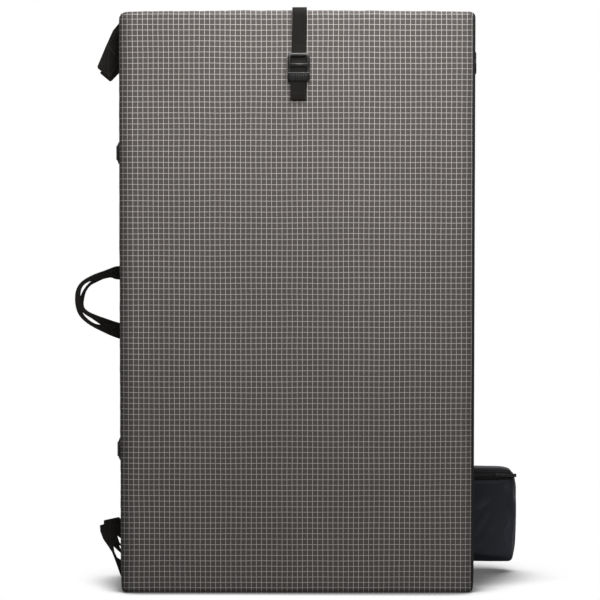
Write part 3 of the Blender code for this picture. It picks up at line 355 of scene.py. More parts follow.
@functools.cache
def ripstop_group():
    """Crossed thread bundles of a ripstop cloth, from cloth coordinates in metres."""
    fx = Effect("Ripstop Grid", {"Cloth": None, "Pitch Across": 0.0088, "Pitch Up": 0.0094,
                                 "Line Width": 0.0009}, ("Line", "Height"))
    cloth, width = fx.given["Cloth"], fx.given["Line Width"]
    drift = fx.shifted("SUBTRACT", fx.noise(cloth, 9.0, 2.0, "Color"), (0.5, 0.5, 0.5))
    small = fx.add("ShaderNodeVectorMath", {0: drift, "Scale": 0.0024}, operation="SCALE")
    x, y, _ = fx.split(fx.shifted("ADD", cloth, small.outputs[0]))
    outer, inner = fx.times(width, 0.72), fx.times(width, 0.34)
    lines = []
    for along, pitch in ((x, fx.given["Pitch Across"]), (y, fx.given["Pitch Up"])):
        gap = fx.times(fx.back_and_forth(fx.over(along, pitch)), pitch)
        lines.append(fx.eased(gap, outer, inner))
    both = fx.calc("MAXIMUM", *lines)
    uneven = fx.ranged(fx.noise(cloth, 420.0, 1.0), 0.3, 0.6, 0.72, 1.0)
    return fx.give(Line=fx.times(both, uneven), Height=both)


@functools.cache
def weave_group():
    """Plain weave of fine threads, from cloth coordinates in metres."""
    fx = Effect("Plain Weave", {"Cloth": None, "Thread Pitch": 0.0007}, ("Height", "Shade"))
    cloth, pitch = fx.given["Cloth"], fx.given["Thread Pitch"]
    threads = [fx.calc("SINE", fx.times(fx.over(along, pitch), math.pi))
               for along in fx.split(cloth)[:2]]
    height = fx.blended(fx.times(*threads), 0.5, 0.5)
    slub = fx.noise(cloth, 260.0, 3.0, Roughness=0.7)
    return fx.give(Height=fx.blended(slub, 0.5, height),
                   Shade=fx.ranged(height, 0.0, 1.0, 0.86, 1.08))


@functools.cache
def variation_group():
    """Broad unevenness of a dyed cloth, and the dusty specks that settle on it."""
    fx = Effect("Cloth Variation", {"Place": None, "Scale": 7.0, "Amount": 0.08},
                ("Shade", "Dust"))
    place, amount = fx.given["Place"], fx.given["Amount"]
    broad = fx.noise(place, fx.given["Scale"], 4.0, Roughness=0.55)
    fine = fx.noise(place, 900.0, 2.0, Roughness=0.8)
    shade = fx.ranged(broad, 0.3, 0.7, fx.minus(1.0, amount), fx.plus(1.0, amount))
    return fx.give(Shade=shade, Dust=fx.times(fx.ranged(fine, 0.62, 0.8), broad))


@functools.cache
def webbing_group():
    """Herringbone ribs of a strap. Cloth runs along the strap in X and across it in Y."""
    fx = Effect("Webbing Weave", {"Cloth": None, "Rib Pitch": 0.0012, "Strap Width": 0.025},
                ("Height", "Shade", "Edge"))
    cloth, pitch = fx.given["Cloth"], fx.given["Rib Pitch"]
    along, across, _ = fx.split(cloth)
    columns = fx.over(across, fx.times(pitch, 1.7))
    slant = fx.times(fx.back_and_forth(columns, 1.0), 0.8)
    ribs = fx.calc("SINE", fx.times(fx.plus(fx.over(along, pitch), slant), TURN))
    rows = fx.calc("COSINE", fx.times(columns, TURN))
    height = fx.blended(rows, 0.18, fx.blended(ribs, 0.35, 0.5))
    fuzz = fx.noise(cloth, 340.0, 3.0, Roughness=0.75)
    half = fx.times(fx.given["Strap Width"], 0.5)
    return fx.give(Height=height,
                   Shade=fx.blended(fuzz, 0.5, fx.ranged(height, 0.0, 1.0, 0.55, 0.95)),
                   Edge=fx.eased(fx.size(across), fx.minus(half, 0.0016), half))


@functools.cache
def stitch_group():
    """A row of stitches at a distance from a seam. Seam holds (distance, along) in metres."""
    fx = Effect("Stitch Row", {"Seam": None, "Offset": 0.004, "Length": 0.0032,
                               "Thread": 0.0007}, ("Stitch", "Height"))
    distance, along, _ = fx.split(fx.given["Seam"])
    thread = fx.given["Thread"]
    off = fx.size(fx.minus(distance, fx.given["Offset"]))
    dash = fx.eased(fx.back_and_forth(fx.over(along, fx.given["Length"])), 0.05, 0.12)
    stitch = fx.times(fx.eased(off, thread, fx.times(thread, 0.4)), dash)
    dip = fx.eased(off, fx.times(thread, 3.5), 0.0)
    return fx.give(Stitch=stitch, Height=fx.plus(fx.times(dip, -0.8), stitch))


@functools.cache
def box_stitch_group():
    """A sewn box with a cross in it, near the end of a strap."""
    fx = Effect("Box Stitch", {"Sewn": None, "Reach": 0.022, "Half Width": 0.0095,
                               "Thread": 0.0006}, ("Stitch", "Height"))
    reach, half, thread = (fx.given[label] for label in ("Reach", "Half Width", "Thread"))
    away, sideways, _ = fx.split(fx.given["Sewn"])
    across = fx.size(sideways)
    start, margin = 0.003, 0.0003
    where = fx.times(fx.calc("LESS_THAN", away, fx.plus(reach, margin)),
                     fx.calc("GREATER_THAN", away, start - margin),
                     fx.calc("LESS_THAN", across, fx.plus(half, margin)))
    share = fx.over(fx.minus(away, start), fx.minus(reach, start))
    cross = fx.times(fx.size(fx.blended(share, 2.0, -1.0)), half)
    gaps = [fx.size(fx.minus(spot, line)) for spot, line in (
        (across, half), (away, start), (away, reach), (across, cross))]
    nearest = functools.reduce(lambda a, b: fx.calc("MINIMUM", a, b), gaps)
    row = fx.eased(nearest, thread, fx.times(thread, 0.4))
    run = fx.plus(fx.over(away, 0.0028), fx.over(across, 0.0031))
    dashes = fx.eased(fx.back_and_forth(run), 0.05, 0.13)
    mask = fx.times(row, dashes, where)
    dip = fx.times(fx.eased(nearest, 0.0018, 0.0), where)
    return fx.give(Stitch=mask, Height=fx.blended(dip, -0.7, mask))


@functools.cache
def grain_group():
    """Fine spark-eroded grain of a moulded piece, with rubbed patches."""
    fx = Effect("Moulded Grain", {"Place": None, "Scale": 2600.0},
                ("Height", "Rubbed", "Roughness"))
    place = fx.given["Place"]
    broad = fx.noise(place, 95.0, 5.0, Roughness=0.65)
    return fx.give(Height=fx.noise(place, fx.given["Scale"], 3.0, Roughness=0.6),
                   Rubbed=fx.ranged(broad, 0.52, 0.72),
                   Roughness=fx.ranged(broad, 0.3, 0.7, 0.22, 0.36))


@functools.cache
def knit_group():
    """Open knit of a spacer mesh: rows of small holes."""
    fx = Effect("Spacer Knit", {"Place": None, "Cell": 0.0034}, ("Hole", "Height"))
    place = fx.given["Place"]
    cells = fx.cells(place, fx.over(1.0, fx.given["Cell"]), Randomness=0.25)
    hole = fx.eased(cells, 0.42, 0.2)
    fuzz = fx.noise(place, 1500.0, 2.0)
    return fx.give(Hole=hole, Height=fx.blended(fuzz, 0.3, fx.times(hole, -1.0)))


# ---------------------------------------------------------------- materials

SHADER_SOCKETS = {
    "colour": "Base Color", "roughness": "Roughness", "metallic": "Metallic",
    "specular": "Specular IOR Level", "sheen": "Sheen Weight",
    "sheen_roughness": "Sheen Roughness",
}
DUST = (0.30, 0.29, 0.27, 1)


class Finish(Wiring):
    """A material with its Principled shader; direct values go straight onto its sockets."""

    def __init__(self, name, **direct):
        self.material = bpy.data.materials.new(name)
        self.material.use_nodes = True
        super().__init__(self.material.node_tree)
        self.shader = self.tree.nodes["Principled BSDF"]
        for key, value in direct.items():
            self.shader.inputs[SHADER_SOCKETS[key]].default_value = value
        self.place = self.add("ShaderNodeTexCoord").outputs["Object"]
        self.normal = None

    def uv(self, name):
        return self.add("ShaderNodeUVMap", uv_map=name).outputs["UV"]

    def effect(self, group, **sockets):
        """Places a shared effect; an underscore stands for the space in a label."""
        named = {key.replace("_", " "): value for key, value in sockets.items()}
        return self.add("ShaderNodeGroup", named, node_tree=group).outputs

    def weave(self, cloth, pitch):
        return self.effect(weave_group(), Cloth=cloth, Thread_Pitch=pitch)

    def spread(self, scale, amount):
        return self.effect(variation_group(), Place=self.place, Scale=scale, Amount=amount)

    def dusted(self, base, spread, share, dust_and_highlight=DUST):
        return self.mixed(self.times(spread["Dust"], share), base, dust_and_highlight)

    def bump(self, height, strength, distance):
        """Adds a relief on top of those before it."""
        sockets = {"Height": height, "Strength": strength, "Distance": distance}
        if self.normal is not None:
            sockets["Normal"] = self.normal
        self.normal = self.add("ShaderNodeBump", sockets).outputs["Normal"]
        self.tree.links.new(self.normal, self.shader.inputs["Normal"])

    def painted(self, colour, **sockets):
        """Feeds the shader what changes over the surface, and hands out the material."""
        for key, value in {"colour": colour, **sockets}.items():
            self.tree.links.new(value, self.shader.inputs[SHADER_SOCKETS[key]])
        return self.material


def grid_cloth(settings):
    """Cover cloth with its ripstop grid, and painted shade near its two sides, stronger on the
    left.
    """
    made = Finish("ripstop_cover_cloth", roughness=0.72, sheen=0.0, sheen_roughness=0.4,
                  specular=0.02)
    cloth = made.uv("cloth")
    grid = made.effect(ripstop_group(), Cloth=cloth, Pitch_Across=settings.pitch_across,
                       Pitch_Up=settings.pitch_up, Line_Width=settings.line_width)
    weave = made.weave(cloth, 0.0006)
    spread = made.spread(5.0, 0.05)
    ground = made.shaded(settings.ground, weave["Shade"], spread["Shade"])
    thread = made.shaded(settings.line, spread["Shade"])
    lined = made.mixed(grid["Line"], ground, thread)
    dusty = made.dusted(lined, spread, 0.12, (0.45, 0.43, 0.40, 1))
    # Painted shade: the cloth is darkened towards its left and right edges, more on the left.
    x = made.split(cloth)[0]
    side_shade_falloff = made.eased(made.minus(PAD_HALF_WIDTH, made.size(x)), 0.026, 0.004)
    painted_side_shade = made.times(side_shade_falloff, made.ranged(x, -0.1, 0.1, 0.42, 0.24))
    with_side_shade = made.mixed(painted_side_shade, dusty, (0.012, 0.011, 0.011, 1))
    made.bump(weave["Height"], 0.25, 0.0002)
    made.bump(grid["Height"], 0.5, 0.00025)
    return made.painted(with_side_shade, roughness=made.ranged(grid["Line"], 0.0, 1.0, 0.78, 0.55))


def plain_cloth(name, colour, pitch, rows, sheen=0.02):
    """Black pack cloth with rows of stitches at the given distances from its seams."""
    made = Finish(name, roughness=0.78, sheen=sheen, sheen_roughness=0.45, specular=0.06)
    weave = made.weave(made.uv("cloth"), pitch)
    spread = made.spread(8.0, 0.14)
    base = made.shaded(colour, weave["Shade"], spread["Shade"])
    base = made.dusted(base, spread, 0.16)
    made.bump(weave["Height"], 0.45, 0.0003)
    for offset in rows:
        row = made.effect(stitch_group(), Seam=made.uv("seam"), Offset=offset)
        base = made.mixed(row["Stitch"], base, (0.075, 0.073, 0.072, 1))
        made.bump(row["Height"], 0.8, 0.0006)
    return made.painted(base)


def webbing_cloth(settings, name, width):
    """Ribbed strap webbing with worn edges and a sewn box near each sewn end."""
    made = Finish(name, roughness=0.7, sheen=0.01, sheen_roughness=0.5, specular=0.06)
    weave = made.effect(webbing_group(), Cloth=made.uv("cloth"), Rib_Pitch=settings.rib,
                        Strap_Width=width)
    spread = made.spread(22.0, 0.12)
    sewn = made.effect(box_stitch_group(), Sewn=made.uv("sewn"), Half_Width=width * 0.38)
    base = made.shaded(settings.colour, weave["Shade"], spread["Shade"])
    worn = made.mixed(made.times(weave["Edge"], 0.25), base, rgba(settings.colour, 2.4))
    dusty = made.dusted(worn, spread, 0.08)
    threads = made.mixed(sewn["Stitch"], dusty, rgba(settings.thread))
    made.bump(weave["Height"], 0.6, 0.0003)
    made.bump(sewn["Height"], 0.8, 0.0006)
    return made.painted(threads, roughness=made.ranged(weave["Height"], 0.0, 1.0, 0.82, 0.6))


def moulded_plastic(settings):
    """Grained nylon, rubbed in patches, with a painted highlight on its upper faces."""
    made = Finish("moulded_nylon", roughness=0.3, specular=0.22)
    grain = made.effect(grain_group(), Place=made.place)
    base = made.mixed(made.times(grain["Rubbed"], 0.5), rgba(settings.moulded),
                      rgba(settings.moulded, 2.1))
    # Painted highlight: faces turned upwards are lightened as if lit from above.
    upward = made.split(made.add("ShaderNodeTexCoord").outputs["Normal"])[2]
    dust_and_highlight = made.ranged(upward, 0.10, 0.90, 0.0, 0.75)
    made.bump(grain["Height"], 0.25, 0.0001)
    return made.painted(made.mixed(dust_and_highlight, base, (0.26, 0.26, 0.255, 1)),
                        roughness=grain["Roughness"])


def slider_metal(settings):
    """Painted zip metal, bare where it is rubbed."""
    made = Finish("painted_zip_metal", roughness=0.35, specular=0.15)
    grain = made.effect(grain_group(), Place=made.place, Scale=3500.0)
    base = made.mixed(made.times(grain["Rubbed"], 0.1), rgba(settings.zip_metal),
                      (0.42, 0.42, 0.43, 1))
    made.bump(grain["Height"], 0.15, 0.00008)
    return made.painted(base, roughness=grain["Roughness"],
                        metallic=made.ranged(grain["Rubbed"], 0.0, 1.0, 0.0, 0.3))


def hook_metal(settings):
    """Alloy brushed along the hook's length."""
    made = Finish("brushed_hook_alloy", roughness=0.35, metallic=1.0)
    drawn_out = made.add("ShaderNodeMapping", {"Vector": made.place,
                                               "Scale": (60.0, 1500.0, 60.0)}).outputs[0]
    brush = made.noise(drawn_out, 1.0, 3.0)
    grain = made.effect(grain_group(), Place=made.place, Scale=900.0)
    made.bump(brush, 0.1, 0.00005)
    made.bump(grain["Height"], 0.08, 0.00005)
    return made.painted(made.mixed(brush, rgba(settings.hook, 0.85), rgba(settings.hook, 1.1)),
                        roughness=made.ranged(brush, 0.3, 0.7, 0.28, 0.42))


def zip_tape(settings):
    """Woven tape with a coil down its middle. Cloth runs along the tape in X."""
    made = Finish("zip_tape_cloth", roughness=0.7, sheen=0.03, specular=0.16)
    cloth = made.uv("cloth")
    weave = made.weave(cloth, 0.0008)
    spread = made.spread(30.0, 0.15)
    along, across, _ = made.split(cloth)
    coil = made.eased(made.size(across), 0.0030, 0.0022)
    teeth = made.back_and_forth(made.over(along, 0.0014))
    ridge = made.times(coil, made.blended(teeth, 1.6, 0.4))
    ground = made.shaded(settings.tape, weave["Shade"], spread["Shade"])
    made.bump(weave["Height"], 0.35, 0.0002)
    made.bump(ridge, 0.9, 0.0007)
    return made.painted(made.mixed(ridge, ground, rgba(settings.tape, 2.0)),
                        roughness=made.ranged(coil, 0.0, 1.0, 0.8, 0.4))


def padded_mesh(settings):
    """Spacer mesh of the harness padding, with painted shade in its holes."""
    made = Finish("spacer_mesh", roughness=0.88, sheen=0.06, sheen_roughness=0.6,
                  specular=0.12)
    knit = made.effect(knit_group(), Place=made.place)
    spread = made.spread(16.0, 0.12)
    base = made.shaded(settings.mesh_colour, spread["Shade"])
    # Painted shade: the holes of the knit are darkened.
    base = made.mixed(knit["Hole"], base, rgba(settings.mesh_colour, 0.35))
    made.bump(knit["Height"], 0.7, 0.0008)
    return made.painted(made.dusted(base, spread, 0.2))


def pouch_nylon(settings):
    """Nylon with painted highlights on its folds, a paler foot and a dark band above the zip."""
    made = Finish("pouch_nylon_cloth", roughness=0.5, sheen=0.01, sheen_roughness=0.35,
                  specular=0.06)
    x, y, z = made.split(made.place)
    weave = made.weave(made.joined(made.plus(x, y), made.plus(z, y)), 0.0006)
    spread = made.spread(14.0, 0.1)
    base = made.shaded(settings.pouch, weave["Shade"], spread["Shade"])
    base = made.dusted(base, spread, 0.06, (0.30, 0.30, 0.31, 1))
    along = made.blended(x, 0.55, made.times(z, 0.83))
    over = made.blended(x, 0.83, made.times(z, -0.55))
    slanted = made.joined(made.times(along, 11.0), made.times(over, 30.0),
                          made.times(y, 14.0))
    # Painted highlight: a slanting noise marks where the folds are lightened.
    folds = made.noise(slanted, 1.0, 2.0, Distortion=0.6)
    hem, zip_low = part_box("pouch_body")[0].z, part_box("pouch_zip_tape")[0].z
    # The first mix paints highlights on the folds; the others pale the foot and darken the band
    # above the zip.
    for share, scale in (
            (made.eased(folds, 0.48, 0.72, 0.0, 0.75), 2.1),
            (made.ranged(z, hem + 0.10, hem + 0.02, 0.0, 0.4), 1.8),
            (made.ranged(z, zip_low - 0.003, zip_low + 0.001, 0.0, 0.8), 0.18)):
        base = made.mixed(share, base, rgba(settings.pouch, scale))
    made.bump(weave["Height"], 0.3, 0.0002)
    made.bump(made.noise(made.place, 46.0, 3.0, Distortion=1.2), 0.35, 0.0022)
    return made.painted(base, roughness=made.ranged(spread["Shade"], 0.9, 1.1, 0.46, 0.6))


def foam(name, colour, cell):
    """Cut foam with cells of the given size, and painted shade in the cells' hollows."""
    made = Finish(name, roughness=0.92, specular=0.2)
    cells = made.cells(made.place, 1 / cell)
    # Painted shade: the colour darkens towards each cell's hollow.
    pore_shade = made.ranged(cells, 0.1, 0.6, 0.72, 1.05)
    made.bump(cells, 0.6, cell / 2)
    return made.painted(made.shaded(colour, pore_shade, made.spread(9.0, 0.1)["Shade"]))


# ---------------------------------------------------------------- mesh helpers

def plain_mesh(points, faces):
    mesh = bpy.data.meshes.new("plain")
    mesh.from_pydata([tuple(point) for point in points], [], faces)
    mesh.update()
    return mesh


def unpacked(bm):
    """Turns a finished bmesh into a mesh."""
    mesh = bpy.data.meshes.new("unpacked")
    bm.to_mesh(mesh)
    bm.free()
    return mesh


def cleaned(mesh, distance=0.0):
    """Merges points nearer than the distance and faces the shell outwards."""
    bm = bmesh.new()
    bm.from_mesh(mesh)
    if distance:
        bmesh.ops.remove_doubles(bm, verts=bm.verts, dist=distance)
    bmesh.ops.recalc_face_normals(bm, faces=bm.faces)
    bm.to_mesh(mesh)
    bm.free()
    return mesh


def corner_points(mesh):
    """For each face corner, its point's number; for each, the normal of its face."""
    points = np.zeros(len(mesh.loops), int)
    mesh.loops.foreach_get("vertex_index", points)
    counts = np.zeros(len(mesh.polygons), int)
    mesh.polygons.foreach_get("loop_total", counts)
    normals = np.zeros(len(mesh.polygons) * 3)
    mesh.polygons.foreach_get("normal", normals)
    return points, np.repeat(normals.reshape(-1, 3), counts, axis=0)


def coordinates(mesh):
    flat = np.zeros(len(mesh.vertices) * 3)
    mesh.vertices.foreach_get("co", flat)
    return flat.reshape(-1, 3)


def move_points(mesh, place):
    mesh.vertices.foreach_set("co", place.ravel())
    mesh.update()


def lay_uv(mesh, name, per_corner):
    layer = mesh.uv_layers.new(name=name)
    layer.data.foreach_set("uv", np.asarray(per_corner, np.float32).ravel())


def lay_point_uv(mesh, name, per_point):
    lay_uv(mesh, name, np.asarray(per_point)[corner_points(mesh)[0]])


def lay_edge_maps(mesh, low, high):
    """Flat cloth coordinates, and a seam map of the distance from the nearest edge."""
    place = coordinates(mesh)[corner_points(mesh)[0]][:, [0, 2]]
    lay_uv(mesh, "cloth", place)
    gap_x, gap_z = np.minimum(place - low, np.asarray(high) - place).T
    along = np.where(gap_x < gap_z, place[:, 1], place[:, 0])
    lay_uv(mesh, "seam", np.stack([np.minimum(gap_x, gap_z), along], axis=1))


def make_piece(name, mesh, material, body, slot, *replaced):
    """Links a finished mesh, gives it its finish and hangs it on its body."""
    mesh.name = name
    mesh.materials.append(material)
    mesh.shade_smooth()
    obj = bpy.data.objects.new(name, mesh)
    bpy.context.scene.collection.objects.link(obj)
    if body:
        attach(obj, body)
    if replaced:
        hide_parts(*replaced)
    return obj


def stand_in(node, ending, mesh, material, slot):
    """A piece that takes a CAD node's place and rides on its body."""
    return make_piece(f"{node}_{ending}", mesh, material, NODES[node]["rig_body"], slot, node)


def modify(obj, kind, **settings):
    modifier = obj.modifiers.new(kind.lower(), kind)
    for key, value in settings.items():
        setattr(modifier, key, value)
    return modifier


def applied(obj):
    """Makes an object's modifiers part of its smooth mesh."""
    bpy.context.view_layer.update()
    graph = bpy.context.evaluated_depsgraph_get()
    mesh = bpy.data.meshes.new_from_object(obj.evaluated_get(graph))
    obj.modifiers.clear()
    obj.data = mesh
    mesh.shade_smooth()
    return obj


def ring_faces(rows, count, closed=False):
    """Quads between neighbouring rings of points; the last ring of a closed tube meets the
    first."""
    faces = []
    for row in range(rows if closed else rows - 1):
        onward = (row + 1) % rows
        for number in range(count):
            after = (number + 1) % count
            faces.append((row * count + number, row * count + after,
                          onward * count + after, onward * count + number))
    return faces


def tube_faces(rows, count):
    """Rings with a flat face on each end."""
    return ring_faces(rows, count) + [tuple(range(count))[::-1],
                                      tuple(range((rows - 1) * count, rows * count))]


def slab_faces(rows, columns):
    """Faces of two grid layers and of the rim between them, and the rim's spots in order."""
    def corners(*spots):
        return [(layer * rows + row) * columns + column for layer, (row, column) in spots]

    faces = []
    for row in range(rows - 1):
        for column in range(columns - 1):
            quad = [(row, column), (row, column + 1), (row + 1, column + 1),
                    (row + 1, column)]
            faces.append(corners(*((0, spot) for spot in quad)))
            faces.append(corners(*((1, spot) for spot in quad[::-1])))
    rim = [(0, column) for column in range(columns)]
    rim += [(row, columns - 1) for row in range(1, rows)]
    rim += [(rows - 1, column) for column in range(columns - 2, -1, -1)]
    rim += [(row, 0) for row in range(rows - 2, 0, -1)]
    for first, second in zip(rim, rim[1:] + rim[:1]):
        faces.append(corners((0, first), (0, second), (1, second), (1, first)))
    return faces, rim


def lengths_along(path):
    """How far along a path each of its points lies."""
    runs = np.linalg.norm(np.diff(path, axis=0), axis=1)
    return np.concatenate([[0], np.cumsum(runs)])


def points_at(at, lengths, path):
    return np.stack([np.interp(at, lengths, column) for column in path.T], axis=1)


def directions(path):
    tangents = np.gradient(path, axis=0)
    return tangents / np.linalg.norm(tangents, axis=1)[:, None]


def resampled(path, step, places=None):
    """Even points along a path, with both ends kept. Later columns are carried along."""
    path = np.asarray(path, float)
    lengths = lengths_along(path[:, :places])
    count = max(3, int(round(lengths[-1] / step)) + 1)
    return points_at(np.linspace(0, lengths[-1], count), lengths, path)


def relaxed(path, rounds):
    """Softens the corners of an evenly spaced path, with both ends kept."""
    path = path.copy()
    for _ in range(rounds):
        path[1:-1] = path[:-2] / 4 + path[1:-1] / 2 + path[2:] / 4
    return path


def hump(value):
    """1 at 0, falling to 0 at -1 and 1."""
    return np.clip(1 - value**2, 0, None)


def fading(value, span):
    """1 at 0, falling to 0 at the end of the span."""
    return np.clip(1 - value / span, 0, 1)


def crown_at(x, z):
    return CROWN * hump(x / PAD_HALF_WIDTH) * hump(2 * z / PAD_HEIGHT - 1)


def side_bow_at(reach, z):
    return SIDE_BOW * hump(2 * reach / HALF_THICKNESS - 1) * hump(2 * z / PAD_HEIGHT - 1)


def top_bow_at(x):
    return TOP_BOW * hump(x / PAD_HALF_WIDTH)


def gaps_at(x, z):
    """Distances from a spot on the pad's face to its nearer side and its nearer end."""
    return PAD_HALF_WIDTH - np.abs(x), np.minimum(z, PAD_HEIGHT - z)


def waves(values, lengths, seed):
    """A smooth uneven wave from a few sines, about from -1 to 1."""
    chance = np.random.default_rng(seed)
    total = np.zeros_like(values)
    for length in lengths:
        total += np.sin(values * TURN / length + chance.uniform(0, TURN))
    return total / len(lengths)


def rounded_outline(xs, zs):
    """Base points and outward directions of a rounded rectangle, anticlockwise from below.

    A corner's power is 2 for a quarter circle and more for a squarer corner."""
    left, right, low, high = xs[0], xs[-1], zs[0], zs[-1]
    runs = (([(x, low) for x in xs], (right, low)),
            ([(right, z) for z in zs], (right, high)),
            ([(x, high) for x in xs[::-1]], (left, high)),
            ([(left, z) for z in zs[::-1]], (left, low)))
    base, out = [], []
    for number, ((points, corner), power) in enumerate(zip(runs, CORNER_POWERS)):
        start = (number - 1) * math.pi / 2
        base += points
        out += [((0, -1), (1, 0), (0, 1), (-1, 0))[number]] * len(points)
        for step in range(1, CORNER_STEPS):
            turn = start + step / CORNER_STEPS * math.pi / 2
            base.append(corner)
            out.append([math.copysign(abs(part) ** (2 / power), part)
                        for part in (math.cos(turn), math.sin(turn))])
    return np.array(base), np.array(out, float)


def tray(flipped, rings, columns, rows, place_of):
    """Rings of the pad's outline closed by a grid. Each ring has an inset and a reach, and
    place_of bends them into points."""
    xs = np.linspace(CORNER_RADIUS - PAD_HALF_WIDTH, PAD_HALF_WIDTH - CORNER_RADIUS, columns)
    zs = np.linspace(CORNER_RADIUS, PAD_HEIGHT - CORNER_RADIUS, rows)
    base, out = rounded_outline(xs, zs)
    count = len(base)
    points = []
    for inset, reach in rings:
        flat = base + out * (CORNER_RADIUS - inset)
        points.extend(place_of(flat[:, 0], flat[:, 1], np.full(count, reach), out, inset))
    faces = ring_faces(len(rings), count)
    rim = {}
    for number, (x, z) in enumerate(np.round(base, 7)):
        rim.setdefault((x, z), (len(rings) - 1) * count + number)
    grid = {}
    for row in range(rows):
        for column in range(columns):
            if row in (0, rows - 1) or column in (0, columns - 1):
                grid[column, row] = rim[round(xs[column], 7), round(zs[row], 7)]
            else:
                grid[column, row] = len(points) + (row - 1) * (columns - 2) + column - 1
    inner_x, inner_z = (part.ravel() for part in np.meshgrid(xs[1:-1], zs[1:-1]))
    points.extend(place_of(inner_x, inner_z, np.full(inner_x.size, rings[-1][1]),
                           np.zeros((inner_x.size, 2)), CORNER_RADIUS))
    for row in range(rows - 1):
        for column in range(columns - 1):
            faces.append((grid[column, row], grid[column + 1, row],
                          grid[column + 1, row + 1], grid[column, row + 1]))
    if flipped:
        faces = [face[::-1] for face in faces]
    return cleaned(plain_mesh(points, faces), MERGE_DISTANCE)


# ---------------------------------------------------------------- covers and panels

def cover_rings():
    """Inset and reach of the cover's rings, from its rim over the rolled edge to the face."""
    seam_turn = math.acos(1 - GUSSET_SEAM / EDGE_RADIUS)
    turns = (0.0, 0.2, 0.55, 0.9, seam_turn - 0.14, seam_turn, seam_turn + 0.14,
             math.pi / 2)
    rings = [(0.0, reach) for reach in np.linspace(RIM_REACH, 0.0915, 12)]
    rings += [(EDGE_RADIUS * (1 - math.cos(turn)),
               HALF_THICKNESS - EDGE_RADIUS * (1 - math.sin(turn))) for turn in turns]
    return rings + [(inset, HALF_THICKNESS) for inset in (0.0090, 0.0110, 0.0130)]


def cover_mesh(half, pucker):
    """One half's sewn cloth: a gathered gusset, a rolled edge and a crowned face."""
    side = SIDES[half]
    seed = 11 if side < 0 else 29
    edge_reach = HALF_THICKNESS - EDGE_RADIUS

    def place_of(x, z, reach, out, inset):
        on_face = np.clip((reach - edge_reach) / EDGE_RADIUS, 0, 1)
        on_gusset = 1 - on_face
        leftward, upward = np.clip(-out[:, 0], 0, 1), np.clip(out[:, 1], 0, 1)

        along = x * np.abs(out[:, 1]) + z * np.abs(out[:, 0]) + out[:, 0] * 0.37
        gathers = waves(along, (0.013, 0.021, 0.034, 0.055), seed)
        near_rim = np.exp(-(reach - RIM_REACH) / 0.016)
        near_edge = np.exp(-(HALF_THICKNESS - reach) / 0.018)
        gusset_wave = gathers * (near_rim + near_edge) * on_gusset * pucker * 1.6
        gusset_wave += waves(along + reach * 0.7, (0.11, 0.17, 0.29),
                             seed + 5) * pucker * on_gusset
        gusset_wave *= np.where(out[:, 1] < -0.5, 0.0, np.where(out[:, 0] > 0.5, 0.25, 1.0))

        x_new = x - leftward * on_gusset * side_bow_at(np.minimum(reach, 0.1), z)
        x_new += out[:, 0] * gusset_wave
        x_new *= 1 - 0.0045 * fading(z, 0.045) ** 1.5
        top_wave = waves(x, (0.045, 0.078, 0.13), seed + 9) * pucker * 1.3
        z_new = z + upward * top_bow_at(x) * np.clip(on_gusset + 0.35, 0, 1)
        z_new += out[:, 1] * gusset_wave + top_wave * upward

        gap_x, gap_z = gaps_at(x, z)
        drawn_in = np.maximum(fading(gap_x, 0.026), fading(gap_z, 0.022)) ** 2
        by_seam = np.exp(-np.minimum(gap_x, gap_z) / 0.020)
        seam_wave = waves(np.where(gap_x < gap_z, z, x), (0.016, 0.027, 0.043), seed + 1)
        swells = (waves(x + 0.4 * z, (0.19, 0.31), seed + 2)
                  * waves(z - 0.3 * x, (0.23, 0.41), seed + 3))
        face = on_face * (crown_at(x, z) - 0.0015 * drawn_in
                          + pucker * 0.45 * by_seam * seam_wave + 0.0004 * swells)

        if abs(inset - GUSSET_SEAM) < SAME_SPOT:
            face = face - np.where(out[:, 0] > 0.5, 0.0005, 0.0)
        if inset < SAME_SPOT and abs(reach[0] - edge_reach) < SAME_SPOT:
            x_new -= out[:, 0] * 0.0004
        return np.stack([x_new, SPLIT_Y + side * (reach + face), z_new], axis=1)

    return tray(side > 0, cover_rings(), 73, 121, place_of)


def lay_wrapped_maps(mesh, side):
    """Cloth coordinates that run on round the edges, and a seam map of the rim."""
    points, normals = corner_points(mesh)
    place = coordinates(mesh)[points]
    reach = side * (place[:, 1] - SPLIT_Y)
    round_edge = np.clip(HALF_THICKNESS - reach, 0, None)
    sideways = np.abs(normals[:, 0]) > np.abs(normals[:, 2])
    u = place[:, 0] + np.where(sideways, np.sign(normals[:, 0]) * round_edge, 0)
    v = place[:, 2] + np.where(sideways, 0, np.sign(normals[:, 2]) * round_edge)
    lay_uv(mesh, "cloth", np.stack([u, v], axis=1))
    along = np.where(sideways, place[:, 2], place[:, 0])
    lay_uv(mesh, "seam", np.stack([np.clip(reach - RIM_REACH, 0, None), along], axis=1))


class OBJECT_OT_crash_pad_covers(bpy.types.Operator):
    """Sew the grid cloth covers round both halves"""

    bl_idname = "object.crash_pad_covers"
    bl_label = "Covers"

    def execute(self, context):
        settings = context.scene.crash_pad_cloth
        grid = grid_cloth(settings)
        gusset = plain_cloth("hinge_gusset_cloth", settings.landing, 0.0009, (0.004,))
        for half, side in SIDES.items():
            obj = make_piece(f"{half}_cover_cloth", cover_mesh(half, settings.pucker), grid,
                             f"{half}_half", "grid_fabric", f"{half}_cover")
            obj.data.materials.append(gusset)
            lay_wrapped_maps(obj.data, side)
            for polygon in obj.data.polygons:
                if polygon.center.x > PAD_HALF_WIDTH - GUSSET_SEAM:
                    polygon.material_index = 1
            modify(obj, "SOLIDIFY", thickness=COVER_WALL, offset=-1, use_rim=True)
            applied(obj)
        return {"FINISHED"}


